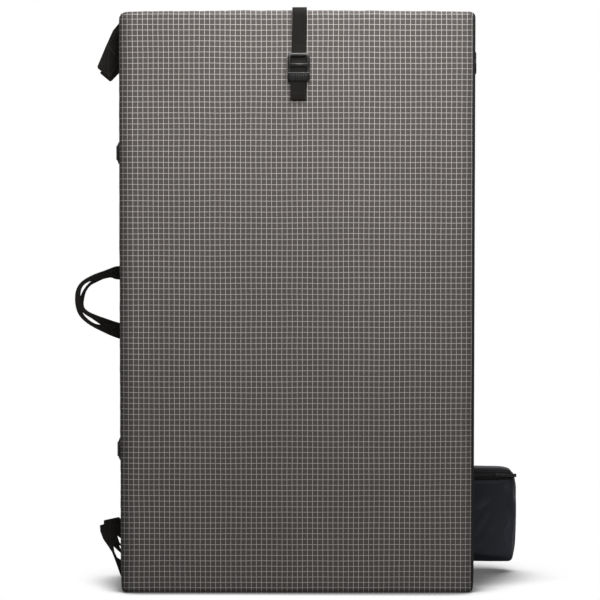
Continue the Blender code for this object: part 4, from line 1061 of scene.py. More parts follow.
class OBJECT_OT_crash_pad_landing(bpy.types.Operator):
    """Make the landing panels with their bound edges, and the harness patch"""

    bl_idname = "object.crash_pad_landing"
    bl_label = "Landing Panels"

    def execute(self, context):
        colour = context.scene.crash_pad_cloth.landing
        cloth = plain_cloth("landing_cloth", colour, 0.0011, (0.006, 0.0105))
        for half, side in SIDES.items():
            self.landing(half, side, cloth)
        self.patch(plain_cloth("harness_patch_cloth", colour, 0.0010, (0.004, 0.008),
                               sheen=0.016))
        return {"FINISHED"}

    def landing(self, half, side, cloth):
        rings = [(0.0, 0.0018), (0.0, 0.0008), (0.0005, 0.0004), (0.0012, 0.0003),
                 (0.0100, 0.0003), (0.0130, 0.0004)]

        def place_of(x, z, reach, out, inset):
            leftward, upward = np.clip(-out[:, 0], 0, 1), np.clip(out[:, 1], 0, 1)
            soft = 0.0005 * (0.5 + 0.5 * waves(x + 0.3 * z, (0.09, 0.15), 3))
            deep = reach + np.where(np.minimum(*gaps_at(x, z)) > 0.011, soft, 0)
            return np.stack([x - leftward * side_bow_at(reach, z), SPLIT_Y + side * deep,
                             z + upward * top_bow_at(x)], axis=1)

        mesh = tray(side < 0, rings, 49, 81, place_of)
        obj = make_piece(f"{half}_landing_cloth", mesh, cloth, f"{half}_half",
                         "landing_fabric", f"{half}_landing_panel")
        lay_edge_maps(mesh, (-PAD_HALF_WIDTH, 0), (PAD_HALF_WIDTH, PAD_HEIGHT))

    def patch(self, cloth):
        """The reinforcing cloth under the harness, turned under and sewn round its edge."""
        low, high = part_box("harness_patch")
        xs, zs = np.linspace(low.x, high.x, 45), np.linspace(low.z, high.z, 95)
        points = []
        for layer in (1, 0):
            for z in zs:
                for x in xs:
                    edge = min(x - xs[0], xs[-1] - x, z - zs[0], zs[-1] - z)
                    hem = 0.0012 if edge < 0.011 else 0.0008
                    rise = 0.00035 + layer * hem * min(1, 0.4 + edge / 0.0008)
                    points.append((x, SPLIT_Y + HALF_THICKNESS + crown_at(x, z) + rise, z))
        mesh = cleaned(plain_mesh(points, slab_faces(len(zs), len(xs))[0]))
        obj = stand_in("harness_patch", "cloth", mesh, cloth, "landing_fabric")
        lay_edge_maps(mesh, (low.x, low.z), (high.x, high.z))


class OBJECT_OT_crash_pad_foam(bpy.types.Operator):
    """Give the foam layers inside their cells"""

    bl_idname = "object.crash_pad_foam"
    bl_label = "Foam"

    def execute(self, context):
        firm = foam("closed_cell_foam", (0.05, 0.05, 0.055), 0.0009)
        core = foam("open_cell_foam", context.scene.crash_pad_cloth.foam_core, 0.0016)
        for half in SIDES:
            for layer, material in (("landing", firm), ("base", firm), ("core", core)):
                for slot in NODES[f"{half}_{layer}_foam"].material_slots:
                    slot.material = material
        return {"FINISHED"}


class OBJECT_OT_crash_pad_hinge(bpy.types.Operator):
    """Sew the cloth hinge strip across the fold"""

    bl_idname = "object.crash_pad_hinge"
    bl_label = "Cloth Hinge"

    def execute(self, context):
        cloth = plain_cloth("hinge_strip_cloth", context.scene.crash_pad_cloth.landing,
                            0.0010, (0.0035, 0.0075))
        low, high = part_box("back_hinge_leaf")
        section = [(0.0004, high.y - SPLIT_Y), (0.0004, 0.0105), (0.0019, 0.0065),
                   (0.0036, 0.0028), (0.0040, 0.0011), (0.0041, 0.0)]
        section += [(out, -reach) for out, reach in section[-2::-1]]
        inner = resampled([(PAD_HALF_WIDTH + out, SPLIT_Y + reach) for out, reach in section],
                          0.0013)
        tangents = directions(inner)
        outward = np.stack([-tangents[:, 1], tangents[:, 0]], axis=1)
        loop = np.concatenate([inner + outward * HINGE_WALL, inner[::-1]])
        zs = np.linspace(low.z, high.z, 130)
        gathers = np.maximum(0, waves(zs, (0.019, 0.031, 0.052), 8) * 0.00025)
        points = [(x + (gather if number < len(inner) else 0), y, z)
                  for z, gather in zip(zs, gathers) for number, (x, y) in enumerate(loop)]
        mesh = plain_mesh(points, tube_faces(len(zs), len(loop)))
        lengths = lengths_along(inner)
        girth = float(lengths[-1])
        across = np.concatenate([lengths, lengths[::-1]])
        lay_point_uv(mesh, "cloth", [(u, z) for z in zs for u in across])
        lay_point_uv(mesh, "seam", [(min(u, girth - u), z) for z in zs for u in across])
        obj = make_piece("hinge_strip", cleaned(mesh), cloth, None, "landing_fabric",
                         "back_hinge_leaf", "front_hinge_leaf")
        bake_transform(obj)
        return {"FINISHED"}


# ---------------------------------------------------------------- webbing

def other_axes(axis):
    return [number for number in range(3) if number != axis]


def unit(axis):
    """The direction of an axis."""
    return np.eye(3)[axis]


def cap_outline(node, axis):
    """The outline, in order, of the flat end of a CAD strap that runs along an axis, and the
    strap's two edges on that axis."""
    bm = bmesh.new()
    bm.from_mesh(NODES[node].data)
    bmesh.ops.remove_doubles(bm, verts=bm.verts, dist=0.000002)
    low = min(vert.co[axis] for vert in bm.verts)
    high = max(vert.co[axis] for vert in bm.verts)

    def flat(face):
        return all(abs(vert.co[axis] - low) < MERGE_DISTANCE for vert in face.verts)

    after = {}
    for edge in bm.edges:
        if sum(flat(face) for face in edge.link_faces) == 1:
            first, second = (vert.index for vert in edge.verts)
            after.setdefault(first, []).append(second)
            after.setdefault(second, []).append(first)
    bm.verts.ensure_lookup_table()
    start = next(iter(after))
    order, before = [start], None
    while True:
        onward = [spot for spot in after[order[-1]] if spot != before]
        before = order[-1]
        if onward[0] == start or len(order) > len(after):
            break
        order.append(onward[0])
    outline = np.array([bm.verts[spot].co for spot in order])[:, other_axes(axis)]
    bm.free()
    return outline, low, high


def middle_of(node, axis, wall):
    """The middle line of a thin CAD piece of even wall, and its two edges along the axis."""
    outline, low, high = cap_outline(node, axis)
    count = len(outline)

    def halves(start):
        firsts = [(start + step) % count for step in range(count // 2)]
        seconds = [(start - 1 - step) % count for step in range(count // 2)]
        return outline[firsts], outline[seconds]

    def astray(pair):
        return np.abs(np.linalg.norm(pair[0] - pair[1], axis=1) - wall).max()

    best = min((halves(start) for start in range(count)), key=astray)
    if astray(best) > wall:
        raise ValueError(f"{node}: its outline isn't {wall} thick ({astray(best):.4f})")
    return (best[0] + best[1]) / 2, low, high


def strap_mesh(path, across, widths, walls, sewn=(True, True), hem=0.0):
    """Sweeps a flat strap with soft edges along a 3-D path. It may be sewn at either end,
    and the hem doubles its far end."""
    count = len(path)
    lengths = lengths_along(path)
    tangents = directions(path)
    across = np.broadcast_to(across, (count, 3))
    widths, walls = np.broadcast_to(widths, count), np.broadcast_to(walls, count)
    shares = np.array([-1, -0.985, -0.93, -0.8, -0.5, 0, 0.5, 0.8, 0.93, 0.985, 1])
    profile = np.array([0.25, 0.7, 1.0, 0.96, 0.95, 0.95, 0.95, 0.96, 1.0, 0.7, 0.25])
    section = [(1, spot) for spot in range(len(shares))]
    section += [(-1, spot) for spot in range(len(shares) - 1, -1, -1)]
    points, cloth, sewn_map = [], [], []
    for number, point in enumerate(path):
        normal = np.cross(tangents[number], across[number])
        normal /= np.linalg.norm(normal)
        run = (lengths[number], lengths[-1] - lengths[number])
        doubled = min(1.0, max(0.0, (hem - run[1]) / 0.001))
        thick = walls[number] / 2 * (1 + 0.8 * doubled)
        away = min((distance for flag, distance in zip(sewn, run) if flag), default=1.0)
        for sign, spot in section:
            offset = shares[spot] * widths[number] / 2
            points.append(point + across[number] * offset
                          + normal * sign * thick * profile[spot])
            cloth.append((run[0], offset))
            sewn_map.append((away, offset))
    mesh = plain_mesh(points, tube_faces(count, len(section)))
    lay_point_uv(mesh, "cloth", cloth)
    lay_point_uv(mesh, "sewn", sewn_map)
    return cleaned(mesh)


STRAPS = {
    # node: (axis across the strap, sewn at its start and end, length of its hem)
    "closure_strap": (0, (True, False), 0.012),
    "closure_anchor_tab": (0, (True, True), 0),
    "hook_loop": (0, (False, True), 0),
    **{f"{level}_{part}_webbing": (2, (True, False), 0)
       for level in ("upper", "lower") for part in ("plug", "socket")},
    **{f"{hand}_{part}": (0, (False, sewn), hem) for hand in HANDS for part, sewn, hem in (
        ("strap_top_tab", True, 0), ("strap_foot_tab", True, 0), ("lock_tab", False, 0),
        ("adjuster_webbing", False, 0.010))},
    **{f"{hand}_belt_webbing": (2, (True, False), 0) for hand in HANDS},
}


class OBJECT_OT_crash_pad_straps(bpy.types.Operator):
    """Weave the straps, each along the middle of its own solid"""

    bl_idname = "object.crash_pad_straps"
    bl_label = "Straps"

    def execute(self, context):
        webbing = webbing_cloth(context.scene.crash_pad_webbing, "strap_webbing", 0.025)
        for node, (axis, sewn, hem) in STRAPS.items():
            middle, low, high = middle_of(node, axis, WEB_WALL)
            if hem and middle[0][1] < middle[-1][1]:
                middle = middle[::-1]     # a hemmed strap starts at its upper end
            flat = relaxed(resampled(middle, 0.0009), 2)
            path = np.full((len(flat), 3), (low + high) / 2)
            path[:, other_axes(axis)] = flat
            if node == "closure_strap":
                drift = np.clip((0.99 - path[:, 2]) / 0.14, 0, 1)
                path[:, 0] -= 0.0034 * drift**1.3 * (path[:, 1] < SPLIT_Y)
            mesh = strap_mesh(path, unit(axis), high - low, WEB_WALL, sewn, hem)
            stand_in(node, "woven", mesh, webbing, "webbing")
        return {"FINISHED"}


HANDLE_PATHS = {
    # out from the root, up from the middle, breadth, twist in degrees
    "front": (
        (0.0000, 0.0550, 0.0250, 0), (0.0144, 0.0550, 0.0225, 0), (0.0232, 0.0545, 0.0160, 0),
        (0.0355, 0.0510, 0.0138, 0), (0.0478, 0.0473, 0.0126, 0), (0.0583, 0.0444, 0.0088, 0),
        (0.0680, 0.0395, 0.0074, 0), (0.0755, 0.0321, 0.0076, 0), (0.0797, 0.0216, 0.0090, 0),
        (0.0806, 0.0093, 0.0098, 0), (0.0799, -0.0012, 0.0096, 0), (0.0776, -0.0118, 0.0088, 0),
        (0.0724, -0.0216, 0.0074, 0), (0.0627, -0.0308, 0.0068, 0), (0.0513, -0.0378, 0.0072, 0),
        (0.0399, -0.0417, 0.0110, 0), (0.0267, -0.0443, 0.0180, 0), (0.0144, -0.0469, 0.0228, 0),
        (0.0000, -0.0504, 0.0250, 0)),
    "back": (
        (0.0000, 0.0545, 0.0236, 0), (0.0179, 0.0546, 0.0170, 0), (0.0320, 0.0511, 0.0120, 0),
        (0.0443, 0.0448, 0.0088, 10), (0.0525, 0.0396, 0.0084, 55), (0.0601, 0.0342, 0.0084, 72),
        (0.0668, 0.0261, 0.0084, 72), (0.0710, 0.0177, 0.0084, 62), (0.0738, 0.0075, 0.0084, 40),
        (0.0746, -0.0012, 0.0084, 30), (0.0722, -0.0089, 0.0080, 35),
        (0.0653, -0.0157, 0.0076, 25), (0.0548, -0.0216, 0.0088, 0), (0.0425, -0.0281, 0.0122, 0),
        (0.0302, -0.0343, 0.0160, 0), (0.0179, -0.0406, 0.0200, 0), (0.0000, -0.0478, 0.0240, 0)),
}


def curve_through(points, steps):
    """A smooth curve through the points."""
    points = np.asarray(points, float)
    last = len(points) - 1
    found = []
    for number in range(last):
        a, b, c, d = (points[min(max(number + shift, 0), last)] for shift in (-1, 0, 1, 2))
        for step in range(steps):
            t = step / steps
            found.append(b + (c - a) * t / 2 + (a - b * 2.5 + c * 2 - d / 2) * t**2
                         + (b * 1.5 - a / 2 - c * 1.5 + d / 2) * t**3)
    return np.array(found + [points[last]])


def flat_strap(path, y, widths, walls, twists=0.0):
    """A strap that lies in an upright plane, turns edgewise in it and may twist."""
    path = np.array([(x, y, z) for x, z in path])
    turn = np.radians(np.broadcast_to(twists, len(path)))[:, None]
    across = np.cross(directions(path), unit(1)) * np.cos(turn) + unit(1) * np.sin(turn)
    return strap_mesh(path, across, widths, walls)


class OBJECT_OT_crash_pad_handles(bpy.types.Operator):
    """Make the carry handles and the haul loop, folded narrow where a hand holds them"""

    bl_idname = "object.crash_pad_handles"
    bl_label = "Handles"

    def execute(self, context):
        webbing = webbing_cloth(context.scene.crash_pad_webbing, "folded_webbing", 0.0145)
        for half, spots in HANDLE_PATHS.items():
            low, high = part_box(f"{half}_handle")
            middle_z = (low.z + high.z) / 2 - 0.0008
            rough = [(high.x - out, middle_z + up, width, twist)
                     for out, up, width, twist in spots]
            fine = relaxed(resampled(curve_through(rough, 6), 0.0014, 2), 3)
            walls = np.interp(fine[:, 2], (0.0125, 0.025), (0.0028, 0.0014))
            mesh = flat_strap(fine[:, :2], (low.y + high.y) / 2, fine[:, 2], walls, fine[:, 3])
            stand_in(f"{half}_handle", "folded", mesh, webbing, "webbing")
        self.haul(webbing)
        return {"FINISHED"}

    def haul(self, webbing):
        """The hanging loop at the top of the back: two straight sides and a half round."""
        low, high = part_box("haul_loop")
        half, drop = 0.045, 0.062
        bend = high.z - (drop - half)
        path = [(-half, high.z), (-half, bend)]
        for step in range(1, 16):
            turn = math.pi * step / 16
            path.append((-half * math.cos(turn), bend - half * math.sin(turn)))
        path += [(half, bend), (half, high.z)]
        fine = relaxed(resampled(path, 0.0016), 3)
        share = np.linspace(0, 1, len(fine))
        fold = np.clip((np.minimum(share, 1 - share) * 2 - 0.06) / 0.22, 0, 1)
        fold = fold * fold * (3 - 2 * fold)
        widths = 0.0246 + (0.0124 - 0.0246) * fold
        walls = 0.0014 + (0.0030 - 0.0014) * fold
        mesh = flat_strap(fine, (low.y + high.y) / 2, widths, walls)
        stand_in("haul_loop", "folded", mesh, webbing, "webbing")


CORNER_REACH = 0.043
CORNER_RUN = 0.073
CORNER_OUTLINES = {
    # out from the pad's side, and away from the sewn end
    "top_corner_strap": (
        (0.0, -0.0042), (0.0125, 0.0108), (0.0252, 0.0383), (0.0400, 0.0733),
        (0.0388, 0.0767), (0.0200, 0.0916), (0.0165, 0.0896), (0.0, 0.0700)),
    "top_corner_tab": (
        (0.0, 0.0508), (0.0210, 0.0653), (0.0355, 0.0835), (0.0338, 0.0863),
        (0.0184, 0.0990), (0.0150, 0.0975), (0.0, 0.0817)),
    "bottom_corner_strap": (
        (0.0, 0.0958), (0.0, 0.0677), (0.0085, 0.0745), (0.0048, 0.0624), (0.0, 0.0576),
        (0.0, 0.0545), (0.0055, 0.0576), (0.0036, 0.0527), (0.0, 0.0496), (0.0, 0.0415),
        (0.0152, 0.0556), (0.0135, 0.0457), (0.0092, 0.0362), (0.0, 0.0305), (0.0, 0.0),
        (0.0034, 0.0053), (0.0113, 0.0281), (0.0180, 0.0460), (0.0332, 0.0685),
        (0.0383, 0.0819), (0.0390, 0.0924), (0.0322, 0.0946), (0.0158, 0.0953)),
    "bottom_corner_tab": (
        (0.0, 0.0790), (0.0, 0.1010), (0.0055, 0.1067), (0.0078, 0.1066), (0.0305, 0.1016),
        (0.0322, 0.1009), (0.0322, 0.0850), (0.0165, 0.0740)),
}


def outline_patch(outline, y, along, curl):
    """Webbing cut to an outline in an upright plane, gently curled away from its root."""
    bm = bmesh.new()
    bm.faces.new([bm.verts.new((x, 0, z)) for x, z in outline])
    xs, zs = zip(*outline)
    for axis, values in ((0, xs), (2, zs)):
        for place in np.arange(min(values) + 0.0025, max(values), 0.003):
            bmesh.ops.bisect_plane(bm, geom=bm.verts[:] + bm.edges[:] + bm.faces[:],
                                   plane_co=unit(axis) * place, plane_no=unit(axis))
    mesh = unpacked(bm)
    root = max(xs)
    place = coordinates(mesh)
    run_x, run_z = np.array(along) / np.linalg.norm(along)
    u = place[:, 0] * run_x + place[:, 2] * run_z
    v = -place[:, 0] * run_z + place[:, 2] * run_x
    v -= (v.min() + v.max()) / 2
    lay_point_uv(mesh, "cloth", np.stack([u, v], axis=1))
    lay_point_uv(mesh, "sewn", np.stack([root - place[:, 0] + 0.001, v], axis=1))
    place[:, 1] = (y + curl * ((root - place[:, 0]) / CORNER_REACH) ** 2
                   + 0.0003 * np.sin(place[:, 2] * 260))
    move_points(mesh, place)
    return mesh


class OBJECT_OT_crash_pad_corner_straps(bpy.types.Operator):
    """Make the doubled corner straps and the tabs behind them"""

    bl_idname = "object.crash_pad_corner_straps"
    bl_label = "Corner Straps"

    def execute(self, context):
        webbing = webbing_cloth(context.scene.crash_pad_webbing, "wide_webbing", 0.038)
        for end, start, upward in (("top", 0.982, -1), ("bottom", 0.018, 1)):
            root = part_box(f"{end}_corner_strap")[1].x
            for part, wall, curl in (("strap", 0.0016, 0.0006), ("tab", 0.0015, 0.0010)):
                node = f"{end}_corner_{part}"
                low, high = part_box(node)
                y = (low.y + high.y) / 2
                outline = [(root - out, start + upward * run)
                           for out, run in CORNER_OUTLINES[node]]
                mesh = outline_patch(outline, y, (-CORNER_REACH, upward * CORNER_RUN), curl)
                obj = make_piece(f"{node}_sewn", mesh, webbing, None, "webbing", node)
                modify(obj, "SOLIDIFY", thickness=wall, offset=0)
                modify(obj, "BEVEL", width=wall * 0.35, segments=2,
                       angle_limit=math.radians(50))
                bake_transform(applied(obj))
        return {"FINISHED"}


# ---------------------------------------------------------------- hardware

def crowned(obj, inner):
    """Rounds a side buckle's outer face down towards its two ends."""
    place = coordinates(obj.data)
    low, high = place[:, 2].min(), place[:, 2].max()
    share = np.clip(np.abs(place[:, 2] - (low + high) / 2) / ((high - low) / 2), 0, 1)
    place[:, 0] = inner + (place[:, 0] - inner) * (1 - 0.42 * share**2.6)
    move_points(obj.data, place)


def eased_copy(node, width, material, slot):
    """A copy of a moulded node with its edges eased and its flat faces kept flat."""
    bm = bmesh.new()
    bm.from_mesh(NODES[node].data)
    bmesh.ops.remove_doubles(bm, verts=bm.verts, dist=0.000005)
    bmesh.ops.dissolve_limit(bm, angle_limit=math.radians(1), verts=bm.verts, edges=bm.edges)
    mesh = unpacked(bm)
    mesh.materials.clear()
    obj = stand_in(node, "eased", mesh, material, slot)
    modify(obj, "BEVEL", width=width, segments=3, limit_method="ANGLE",
           angle_limit=math.radians(30), harden_normals=True)
    return applied(obj)


def soft_box(bm, low, high, radius, segments=3, matrix=None):
    """Adds a box with rounded edges."""
    made = bmesh.ops.create_cube(bm, size=1)["verts"]
    for vert in made:
        for axis in range(3):
            middle = (low[axis] + high[axis]) / 2
            vert.co[axis] = middle + vert.co[axis] * (high[axis] - low[axis])
    edges = {edge for vert in made for edge in vert.link_edges}
    result = bmesh.ops.bevel(bm, geom=list(edges), offset=radius, segments=segments,
                             profile=0.5, affect="EDGES")
    verts = {vert for face in result["faces"] for vert in face.verts}
    if matrix is not None:
        bmesh.ops.transform(bm, matrix=matrix, verts=list(verts))
    return verts


def oval_bar(bm, path, halves, matrix, power=2.6, sides=14):
    """Adds a bar with an oval section. halves gives its half breadth and half depth."""
    path = np.asarray(path, float)
    halves = np.broadcast_to(halves, (len(path), 2))
    rings = []
    for point, along, (wide, deep) in zip(path, directions(path), halves):
        breadth = np.cross(along, unit(1))
        breadth /= np.linalg.norm(breadth)
        ring = []
        for side in range(sides):
            c, s = math.cos(TURN * side / sides), math.sin(TURN * side / sides)
            spot = (point + breadth * wide * math.copysign(abs(c) ** (2 / power), c)
                    + unit(1) * deep * math.copysign(abs(s) ** (2 / power), s))
            ring.append(bm.verts.new(matrix @ Vector(spot)))
        rings.append(ring)
    for first, second in zip(rings, rings[1:]):
        for side in range(sides):
            after = (side + 1) % sides
            bm.faces.new((first[side], first[after], second[after], second[side]))
    bm.faces.new(rings[0][::-1])
    bm.faces.new(rings[-1])


def ladderlock_mesh(place, turned):
    """Strap adjuster: a round frame, front and toothed bars, anchor bar and lift plate."""
    bm = bmesh.new()
    matrix = Matrix.Translation(place) @ Matrix.Rotation(math.pi if turned else 0, 4, "Z")
    rail, rail_y, bar_z, high, bend = 0.0160, -0.0058, 0.0302, 0.0443, 0.0045
    path = [(-rail, rail_y, z) for z in (0.001, 0.015, bar_z)]
    for step in range(7):
        turn = math.pi - step / 6 * math.pi / 2
        path.append((-rail + bend + bend * math.cos(turn), -0.0066,
                     high - bend + bend * math.sin(turn)))
    path += [(x, -0.0070, high) for x in (-0.006, 0.0, 0.006)]
    path += [(-x, y, z) for x, y, z in path[9::-1]]
    tops = [min(1.0, max(0.0, (z - 0.036) / 0.008)) for _, _, z in path]
    halves = [(0.0030 + 0.0001 * top, 0.0032 - 0.0009 * top) for top in tops]
    oval_bar(bm, path, halves, matrix)
    front_bar = [(x, -0.0094, 0.0270) for x in (-rail, 0, rail)]
    oval_bar(bm, front_bar, (0.0027, 0.0010), matrix, 3.2)

    def box(x_low, x_high, y_low, y_high, z_low, z_high, radius, segments, where=matrix):
        return soft_box(bm, (x_low, y_low, z_low), (x_high, y_high, z_high), radius,
                        segments, where)

    box(-rail, rail, -0.0054, -0.0032, 0.020, 0.028, 0.0006, 3)
    for tooth in range(13):
        x = -0.0108 + tooth * 0.0018
        box(x - 0.0005, x + 0.0005, -0.0060, -0.0050, 0.0208, 0.0272, 0.0003, 2)
    box(-rail, rail, -0.0044, -0.0024, 0.0035, 0.0055, 0.0006, 3)
    plate = box(-0.0190, 0.0190, -0.0104, -0.0084, 0.0, 0.0142, 0.0008, 4, None)
    for vert in plate:
        vert.co.x *= 1 - 0.30 * max(0, 1 - vert.co.z / 0.0075)
        vert.co.y -= 0.0007 * max(0, vert.co.z - 0.009) / 0.005
    bmesh.ops.transform(bm, matrix=matrix, verts=list(plate))
    for rib in range(-3, 4):
        x = rib * 0.0040
        foot = 0.0012 if abs(rib) < 3 else 0.0036
        box(x - 0.0007, x + 0.0007, -0.0111, -0.0101, foot, 0.0112, 0.00035, 2)
    return unpacked(bm)


def slider_mesh(matrix, pull, tall):
    """Zip slider: a waisted body, a bridge over it and a long pull with raised rims."""
    bm = bmesh.new()
    wide, long = 0.009, SLIDER_LONG
    body = soft_box(bm, (-wide / 2, 0, 0), (wide / 2, long, tall * 0.55), 0.0006)
    for vert in body:
        vert.co.x *= 1 - 0.28 * max(0, 1 - vert.co.y / (long * 0.6))
    soft_box(bm, (-0.0009, long * 0.18, tall * 0.4), (0.0009, long * 0.86, tall), 0.0005)
    tab = soft_box(bm, (-0.0030, -pull, tall - 0.0013), (0.0030, long * 0.45, tall - 0.0001),
                   0.0005)
    for vert in tab:
        if vert.co.y < -pull * 0.6:
            vert.co.x *= 1.06
        if vert.co.y > -pull * 0.55:
            vert.co.x *= 0.8
    for x in (-0.0022, 0.0022):
        soft_box(bm, (x - 0.0004, -pull * 0.92, tall - 0.0016),
                 (x + 0.0004, -pull * 0.3, tall + 0.0001), 0.0003, 2)
    bmesh.ops.transform(bm, matrix=matrix, verts=bm.verts)
    return unpacked(bm)


def tape_mesh(start, end, across, out, width, wall):
    """A zip tape with its coil standing up along the middle."""
    start, end, across, out = (Vector(part) for part in (start, end, across, out))
    length = (end - start).length
    rows = max(2, int(length / 0.004))
    left = [(-0.5, 0.0), (-0.5, 0.75), (-0.47, 0.9), (-0.2, 0.9), (-0.11, 0.95),
            (-0.07, 1.35)]
    section = left + [(0, 1.5)] + [(-share, rise) for share, rise in left[::-1]]
    points, cloth = [], []
    for row in range(rows + 1):
        spot = start.lerp(end, row / rows)
        for share, rise in section:
            points.append(spot + across * share * width + out * rise * wall)
            cloth.append((length * row / rows, share * width))
    mesh = plain_mesh(points, tube_faces(rows + 1, len(section)))
    lay_point_uv(mesh, "cloth", cloth)
    return cleaned(mesh)


class OBJECT_OT_crash_pad_hardware(bpy.types.Operator):
    """Ease the buckles and the hook, and make the strap locks"""

    bl_idname = "object.crash_pad_hardware"
    bl_label = "Hardware"

    def execute(self, context):
        settings = context.scene.crash_pad_hardware
        plastic = moulded_plastic(settings)
        for node in ("upper_buckle_plug", "upper_buckle_socket", "lower_buckle_plug",
                     "lower_buckle_socket", "belt_plug", "belt_socket"):
            piece = eased_copy(node, 0.0007, plastic, "moulded")
            if "buckle" in node:
                crowned(piece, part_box("upper_plug_webbing")[1].x)
        eased_copy("closure_hook", 0.0006, hook_metal(settings), "hook_alloy")
        for node in ("closure_ladderlock", "left_ladderlock", "right_ladderlock"):
            low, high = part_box(node)
            middle = (low.x + high.x) / 2
            if node == "closure_ladderlock":
                mesh = ladderlock_mesh((middle - 0.0016, high.y + 0.0024, low.z), False)
            else:
                mesh = ladderlock_mesh((middle, low.y - 0.0024, low.z), True)
            stand_in(node, "moulded", mesh, plastic, "moulded")
        return {"FINISHED"}


class OBJECT_OT_crash_pad_zips(bpy.types.Operator):
    """Make the zips with their coils, sliders and pulls"""

    bl_idname = "object.crash_pad_zips"
    bl_label = "Zips"

    def execute(self, context):
        settings = context.scene.crash_pad_hardware
        tape, metal = zip_tape(settings), slider_metal(settings)
        for half in SIDES:
            node = f"{half}_zip_tape"
            low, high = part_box(node)
            middle = (low.y + high.y) / 2
            mesh = tape_mesh((low.x, middle, low.z), (low.x, middle, high.z), unit(1),
                             unit(0), high.y - low.y, high.x - low.x)
            stand_in(node, "woven", mesh, tape, "zip_tape")
            node = f"{half}_zip_slider"
            low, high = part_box(node)
            turn = Matrix(((0, 0, 1, low.x), (1, 0, 0, (low.y + high.y) / 2),
                           (0, 1, 0, high.z - SLIDER_LONG), (0, 0, 0, 1)))
            stand_in(node, "cast", slider_mesh(turn, 0.026, 0.0020), metal, "zip_metal")
        low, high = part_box("pouch_zip_tape")
        middle = (low.z + high.z) / 2
        mesh = tape_mesh((low.x, high.y, middle), (high.x, high.y, middle), unit(2),
                         -unit(1), high.z - low.z, high.y - low.y)
        stand_in("pouch_zip_tape", "woven", mesh, tape, "zip_tape")
        low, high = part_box("pouch_zip_slider")
        turn = Matrix(((0, -1, 0, low.x + SLIDER_LONG), (0, 0, -1, high.y),
                       (1, 0, 0, (low.z + high.z) / 2), (0, 0, 0, 1)))
        stand_in("pouch_zip_slider", "cast", slider_mesh(turn, 0.027, 0.0026), metal,
                 "zip_metal")
        return {"FINISHED"}


# ---------------------------------------------------------------- padded pieces

SWELL_FRAMES = 20
CLOTH = {
    "quality": 5, "mass": 0.3, "tension_stiffness": 25, "compression_stiffness": 25,
    "shear_stiffness": 10, "bending_stiffness": 1.5, "use_pressure": True,
    "uniform_pressure_force": 4.0,
}


def swell(obj, caps):
    """Swells a padded piece with the cloth simulation; no point moves farther than its cap."""
    rest = coordinates(obj.data)
    modifier = modify(obj, "CLOTH")
    for key, value in CLOTH.items():
        setattr(modifier.settings, key, value)
    modifier.settings.effector_weights.gravity = 0
    modifier.collision_settings.use_collision = False
    modifier.point_cache.frame_end = SWELL_FRAMES
    scene = bpy.context.scene
    for number in range(1, SWELL_FRAMES + 1):
        scene.frame_set(number)
    graph = bpy.context.evaluated_depsgraph_get()
    shift = coordinates(obj.evaluated_get(graph).data) - rest
    obj.modifiers.remove(modifier)
    scene.frame_set(1)
    limit = caps / np.maximum(np.linalg.norm(shift, axis=1), 0.000001)
    move_points(obj.data, rest + shift * np.minimum(1, limit)[:, None])


def subdivided(obj):
    modify(obj, "SUBSURF", levels=1, render_levels=1)
    return applied(obj)


def cushion_mesh(path, normals, across, widths, thick, edge=0.0035, columns=14):
    """A closed pad along a path, thin at its edges, with each point's distance from the rim
    and the rim's outline."""
    shares = np.sin(np.linspace(-math.pi / 2, math.pi / 2, columns + 1))
    lengths = lengths_along(path)
    points, borders = [], []
    for layer in (1, -1):
        for row, spot in enumerate(path):
            end = min(lengths[row], lengths[-1] - lengths[row])
            for share in shares:
                border = min((1 - abs(share)) * widths[row] / 2, end)
                full = min(1, border / 0.012)
                height = edge / 2 + (thick - edge) / 2 * math.sqrt(1 - (1 - full) ** 2)
                points.append(spot + across * share * widths[row] / 2
                              + normals[row] * layer * height)
                borders.append(border)
    faces, rim = slab_faces(len(path), len(shares))
    outline = [path[row] + across * shares[column] * widths[row] / 2 for row, column in rim]
    return cleaned(plain_mesh(points, faces)), np.array(borders), np.array(outline)


def binding_mesh(outline, across):
    """A bound edge: a soft oval tube round a closed outline."""
    half_out, half_across, sides = 0.0016, 0.0027, 10
    loop = np.vstack([outline, outline[:1]])
    lengths = lengths_along(loop)
    count = int(lengths[-1] / 0.004)
    at = np.linspace(0, lengths[-1], count, endpoint=False)
    path = points_at(at, lengths, loop)
    for _ in range(2):
        path = np.roll(path, 1, 0) / 4 + path / 2 + np.roll(path, -1, 0) / 4
    tangents = np.roll(path, -1, 0) - np.roll(path, 1, 0)
    tangents /= np.linalg.norm(tangents, axis=1)[:, None]
    points, cloth = [], []
    for along, point, tangent in zip(at, path, tangents):
        normal = across - tangent * np.dot(across, tangent)
        normal /= np.linalg.norm(normal)
        outward = np.cross(tangent, normal)
        for side in range(sides):
            turn = TURN * side / sides
            points.append(point + normal * math.cos(turn) * half_across
                          + outward * math.sin(turn) * half_out)
            cloth.append((along, (side - sides / 2) * 0.0018))
    mesh = plain_mesh(points, ring_faces(count, sides, closed=True))
    lay_point_uv(mesh, "cloth", cloth)
    lay_point_uv(mesh, "sewn", [(1.0, v) for _, v in cloth])
    return cleaned(mesh)


